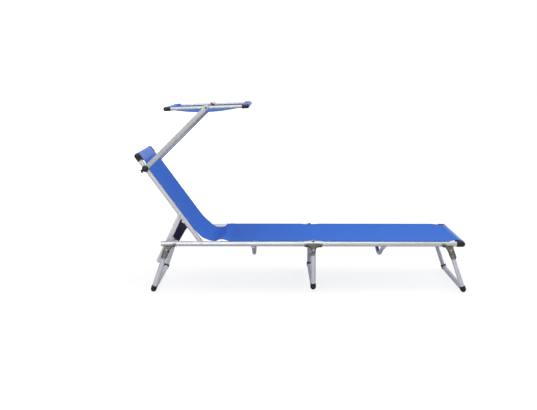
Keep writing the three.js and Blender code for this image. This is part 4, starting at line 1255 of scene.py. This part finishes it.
# the slack loop at the hip, as places beside the backrest's pivot
loop = {"leaves": 0.095, "pull": 0.03, "valleyOut": 0.062, "valleyLevel": 0.2445, "flatTo": 0.07,
        "seatOut": 0.12}


def seatSag(x, y):
    share = 1 - min(abs(y) / seat["half"], 1) ** 2
    return -seat["sag"] * share + cloth["wrinkle"] * share * rumple(x, y, 9, 5, 3.1)


def notchAt(x):
    run = seat["notchRun"]
    return seat["notch"] * (1 - smooth((abs(x - foldX) - seat["notchReach"] + run) / run))


# the backrest's cloth. A pair says where a change starts, after a place along the cloth, and its length.
back = {"half": 0.255, "sleeveHalf": 0.2218, "sag": 0.007, "droop": 0.005, "seam": 0.036, "wrapped": 216,
        "opens": (0.028, 0.06), "widens": (-0.034, 0.038), "ends": (-0.12, 0.09), "seated": (-0.03, 0.06),
        "loosens": (-0.13, 0.09), "tightens": (0.01, 0.07), "cut": 0.921}


# Hides the imported cloth that a sheet stands for and returns the sheet's length
def laid(made, thread, nodes, width, length, restsOn, **more):
    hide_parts(*nodes)
    return length


def seatBackCloth():
    radius, half, seam = backRadius + clothLift, seat["half"], back["seam"]
    local = sleeve(headX, 0, radius, seam, 1)
    local += [(headX + (-loop["leaves"] - headX) * k / 60, radius) for k in range(4, 61)]
    points = inWorld(backFrame, local)
    valleyX, seatX, endX = hip.x + loop["valleyOut"], hip.x + loop["seatOut"], foldX - seat["meet"]
    flatX, low, tilt = hip.x + loop["flatTo"], loop["valleyLevel"], math.radians(backTilt)
    leaving = points[-1]
    pulled = (leaving[0] + loop["pull"] * math.cos(tilt), leaving[1] - loop["pull"] * math.sin(tilt))
    points += bezier(30, leaving, pulled, (valleyX - loop["pull"], low), (valleyX, low))
    points += [(flatX + (seatX - flatX) * k / 20, low + (seatLevel - low) * smooth(k / 20))
               for k in range(21)]
    points += [(seatX + (endX - seatX) * k / 30, seatLevel) for k in range(1, 31)]
    total = resampled(points, cloth["rowStep"])[0][-1]
    wrap = math.hypot(seam, radius - cloth["seamGap"]) + radius * math.radians(back["wrapped"])
    valleyS, seatS = total - (endX - valleyX) - 0.004, total - (endX - seatX)

    # how far s is through a change that starts after a place and takes a length
    def since(s, place, after, over):
        return smooth((s - place - after) / over)

    def halfAt(s):
        width = back["sleeveHalf"] + (back["half"] - back["sleeveHalf"]) * since(s, wrap, *back["opens"])
        width += (seat["hipHalf"] - back["half"]) * since(s, valleyS, 0, 0.02)
        return width + (half - seat["hipHalf"]) * since(s, seatS, *back["widens"])

    def liftAt(s, y):
        share = 1 - min(abs(y) / halfAt(s), 1) ** 2
        onBack = since(s, wrap, 0, 0.12) * (1 - since(s, valleyS, *back["ends"]))
        onSeat = since(s, seatS, *back["seated"])
        loose = since(s, valleyS, *back["loosens"]) * (1 - since(s, seatS, *back["tightens"]))
        near = since(s, valleyS, -seat["nearFrom"], 0.07) * (1 - since(s, valleyS, seat["nearTo"], 0.07))
        lift = -back["sag"] * share * onBack + seatSag(endX - (total - s), y) * onSeat
        lift += drapeOver(y, backY, radius) * onBack + drapeOver(y, railY, railRadius + clothLift) * onSeat
        lift += seat["nearLift"] * smooth(-y / halfAt(s)) * near - back["droop"] * loose * share
        lift += cloth["wrinkle"] * 2.2 * loose * rumple(s, y, 34, 7, 1.7)
        return lift + cloth["wrinkle"] * 0.8 * onBack * share * rumple(s, y, 11, 5, 8.2)

    def doubledAt(s):
        return 1 - since(s, wrap + seam, -0.001, 0.002)

    made, rows, at, length = clothSheet("seat_and_back_cloth", points, halfAt, liftAt, doubledAt,
                                        start=endX - total)
    thread = stitchLines("seat_and_back_stitches", rows, at,
                         (*stitch["ends"], wrap + seam - stitch["ends"][0]),
                         (wrap, total - 0.001))
    for piece in (made, thread):
        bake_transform(piece)
    restsOn = ["fine_head_crossbar", "fine_backrest_rail_near", "fine_backrest_rail_far", *rearRailPieces]
    return laid(made, thread, ("backrest_sling", "rear_sling"), half * 2, length, restsOn,
                area=back["cut"] * half * 2 * length)


footSheet = {"seam": 0.034, "sleeveHalf": 0.2458, "hem": 0.045, "opens": 0.03, "flatFrom": 0.24,
             "flatOver": 0.22}


def footCloth():
    seam, half, bar, startX = footSheet["seam"], seat["half"], foldX + footX, foldX - seat["meet"]
    overRail = railRadius + clothLift
    wrapped = sleeve(bar, railZ, overRail, seam, -1)[::-1]
    points = [(startX + (bar - seam * 0.5 - startX) * k / 90, seatLevel) for k in range(90)] + wrapped
    hem, opens = footSheet["hem"], footSheet["opens"]

    def halfAt(s):
        x = min(startX + s, bar)
        return half + (footSheet["sleeveHalf"] - half) * smooth((x - bar + opens + hem) / hem) - notchAt(x)

    def liftAt(s, y):
        x = startX + s
        flat = 1 - smooth((x - bar + footSheet["flatFrom"]) / footSheet["flatOver"])
        dent = seat["dent"] * math.exp(-(((x - bar + seat["seamIn"]) / seat["seamWide"]) ** 2))
        return seatSag(x, y) * flat + drapeOver(y, railY, overRail) * smooth((bar - opens - x) / opens) - dent

    def doubledAt(s):
        return smooth((startX + s - bar + 0.012) / 0.002)

    made, rows, at, length = clothSheet("seat_and_foot_cloth", points, halfAt, liftAt, doubledAt,
                                        start=startX)
    across = [length - s for s in stitch["ends"]] + [bar - startX - seam + 0.003, bar - startX - 0.013]
    thread = stitchLines("seat_and_foot_stitches", rows, at, across, (0.001, bar - startX))
    for piece in (made, thread):
        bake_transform(piece)
    restsOn = ["fine_foot_crossbar", "fine_front_rail_near", "fine_front_rail_far", *rearRailPieces]
    return laid(made, thread, ("front_sling",), half * 2, length, restsOn)


def canopyCloth():
    radius = canopyRadius + clothLift
    shape = {"seam": 0.026, "straight": 0.026, "hem": 0.024, "open": 0.2435, "sleeve": 0.2268, "sag": 0.02,
             "edge": 0.15, "rumple": 1.2}
    rear = sleeve(-canopyEnd, 0, radius, shape["seam"], 1)
    front = sleeve(canopyEnd, 0, radius, shape["seam"], -1)[::-1]
    run = canopyEnd - shape["seam"] * 0.5
    local = rear + [(-run + 2 * run * k / 60, radius) for k in range(1, 60)] + front
    total = resampled(local, cloth["rowStep"])[0][-1]
    wrap = (total - 2 * canopyEnd) / 2

    def inward(s):
        return min(s - wrap, total - wrap - s)

    def opened(s):
        return smooth((inward(s) - shape["straight"]) / shape["hem"])

    def halfAt(s):
        return shape["sleeve"] + (shape["open"] - shape["sleeve"]) * opened(s)

    def liftAt(s, y):
        t = min(max(inward(s) / (canopyEnd * 2), 0), 1)
        share = min(abs(y) / shape["open"], 1)
        hang = shape["sag"] * 4 * t * (1 - t) * (1 + shape["edge"] * share**2) + canopyRadius * opened(s)
        return -hang + cloth["wrinkle"] * shape["rumple"] * opened(s) * rumple(s, y, 6, 9, 5.5)

    def doubledAt(s):
        return 1 - smooth((inward(s) - shape["seam"]) / 0.002)

    made, rows, at, length = clothSheet("canopy_cloth", local, halfAt, liftAt, doubledAt)
    thread = stitchLines("canopy_stitches", rows, at,
                         (*stitch["ends"], *[length - s for s in stitch["ends"]]),
                         (wrap, total - wrap))
    for piece in (made, thread):
        piece.data.transform(canopyFrame)
        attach(piece, "canopy")
    restsOn = ["fine_canopy_front_bar", "fine_canopy_rear_bar"]
    return laid(made, thread, ("canopy_sling",), shape["open"] * 2, length, restsOn)


clothLengths = {"seat and back": seatBackCloth(), "seat and foot": footCloth(), "canopy": canopyCloth()}
print("cloth made", {name: round(value, 3) for name, value in clothLengths.items()})

# Rivets that hold the cloth to the tubes


def rivets():
    rivet = {"Radius": 0.0034, "Height": 0.0018, "Turn": (0, 0, 0), "Material": rivetMetal}
    onCloth, bare = clothThickness / 2 + 0.0002, railZ + railRadius
    level, y, clothY = seatLevel + onCloth, railY, railY - 0.0005
    rear = [(x, clothY, level) for x in (-0.405, -0.2412, -0.0007)] + [(foldX - 0.036, y, bare)]
    front = [(foldX + 0.036, y, bare)] + [(x, clothY, level) for x in (0.1404, 0.4184, foldX + footX - 0.082)]
    back = [(x, backY - 0.0005, backRadius + clothLift + onCloth) for x in (headX + 0.1, -0.36, -0.25, -0.14)]
    for name, body, matrix, places in (("rear_rivets", "rear_frame", Matrix.Identity(4), rear),
                                       ("front_rivets", "front_frame", Matrix.Identity(4), front),
                                       ("backrest_rivets", "backrest", backFrame, back)):
        points = [(x, side * across, z) for x, across, z in places for side in (-1, 1)]
        settle(grown(pointObject(name, points), headsOn, rivet), matrix, body, "frame_tube", sharp=40)


rivets()
print("rivets made")

# Floor, backdrop and light


studio = {"near": 1.5, "far": 3.6, "shown": 0.36, "glow": 1.3, "low": 0.3, "high": 0.66}


# The camera sees a white floor that keeps a soft shadow near the object, and everything else sees a grey one
def floorShader():
    material, tree, surface = newShader("floor", Roughness=0.9)
    place = put(tree, "ShaderNodeTexCoord").outputs["Object"]
    base = blended(tree, noiseOf(tree, place, 3, 4), (0.56, 0.56, 0.565, 1), (0.6, 0.6, 0.6, 1))
    tree.links.new(base, surface.inputs["Base Color"])
    away = put(tree, "ShaderNodeVectorMath", {0: place}, operation="LENGTH").outputs["Value"]
    share = ranged(tree, away, studio["near"], studio["far"], 1 - studio["shown"], 1)
    glow = put(tree, "ShaderNodeEmission", {"Color": (1, 1, 1, 1), "Strength": studio["glow"]}).outputs[0]
    seen = Level(tree, put(tree, "ShaderNodeLightPath").outputs["Is Camera Ray"])
    mixed = put(tree, "ShaderNodeMixShader", {0: seen * share, 1: surface.outputs[0], 2: glow}).outputs[0]
    tree.links.new(mixed, tree.nodes["Material Output"].inputs["Surface"])
    return material


def stage():
    size = 40
    corners = [(-size, -size, 0), (size, -size, 0), (size, size, 0), (-size, size, 0)]
    floor = objectOf("floor", (corners, [[0, 1, 2, 3]], [[(0, 0), (1, 0), (1, 1), (0, 1)]]), floorShader())
    if floor.data.polygons[0].normal.z < 0:
        floor.data.flip_normals()
    world = bpy.data.worlds.new("studio")
    scene.world = world
    world.use_nodes = True
    tree = world.node_tree
    towards = put(tree, "ShaderNodeNewGeometry").outputs["Incoming"]
    height = Level(tree, put(tree, "ShaderNodeSeparateXYZ", {0: towards}).outputs[2]).run("ABSOLUTE")
    dome = ranged(tree, height, 0, 0.8, studio["low"], studio["high"])
    seen = put(tree, "ShaderNodeLightPath").outputs["Is Camera Ray"]
    background = tree.nodes["Background"]
    tree.links.new(dome.run("MAXIMUM", seen).socket, background.inputs["Strength"])
    background.inputs["Color"].default_value = (1, 1, 1, 1)


def light(name, place, target, size, power):
    lamp = bpy.data.lights.new(name, "AREA")
    lamp.shape = "RECTANGLE"
    lamp.size, lamp.size_y = size
    lamp.energy = power
    made = bpy.data.objects.new(name, lamp)
    scene.collection.objects.link(made)
    made.location = place
    made.rotation_euler = (Vector(target) - Vector(place)).to_track_quat("-Z", "Y").to_euler()


stage()
light("overhead", (-0.4, -0.4, 3.4), (0, 0, 0.3), (3.6, 2.6), 46)
light("front", (-1.2, -4.2, 2.2), (0, 0, 0.4), (2.6, 2.0), 54)
light("rim", (4.4, 1.6, 1.4), (-0.4, 0, 0.45), (1.8, 1.2), 96)
scene.view_settings.view_transform = "Standard"
print("stage and lights made")
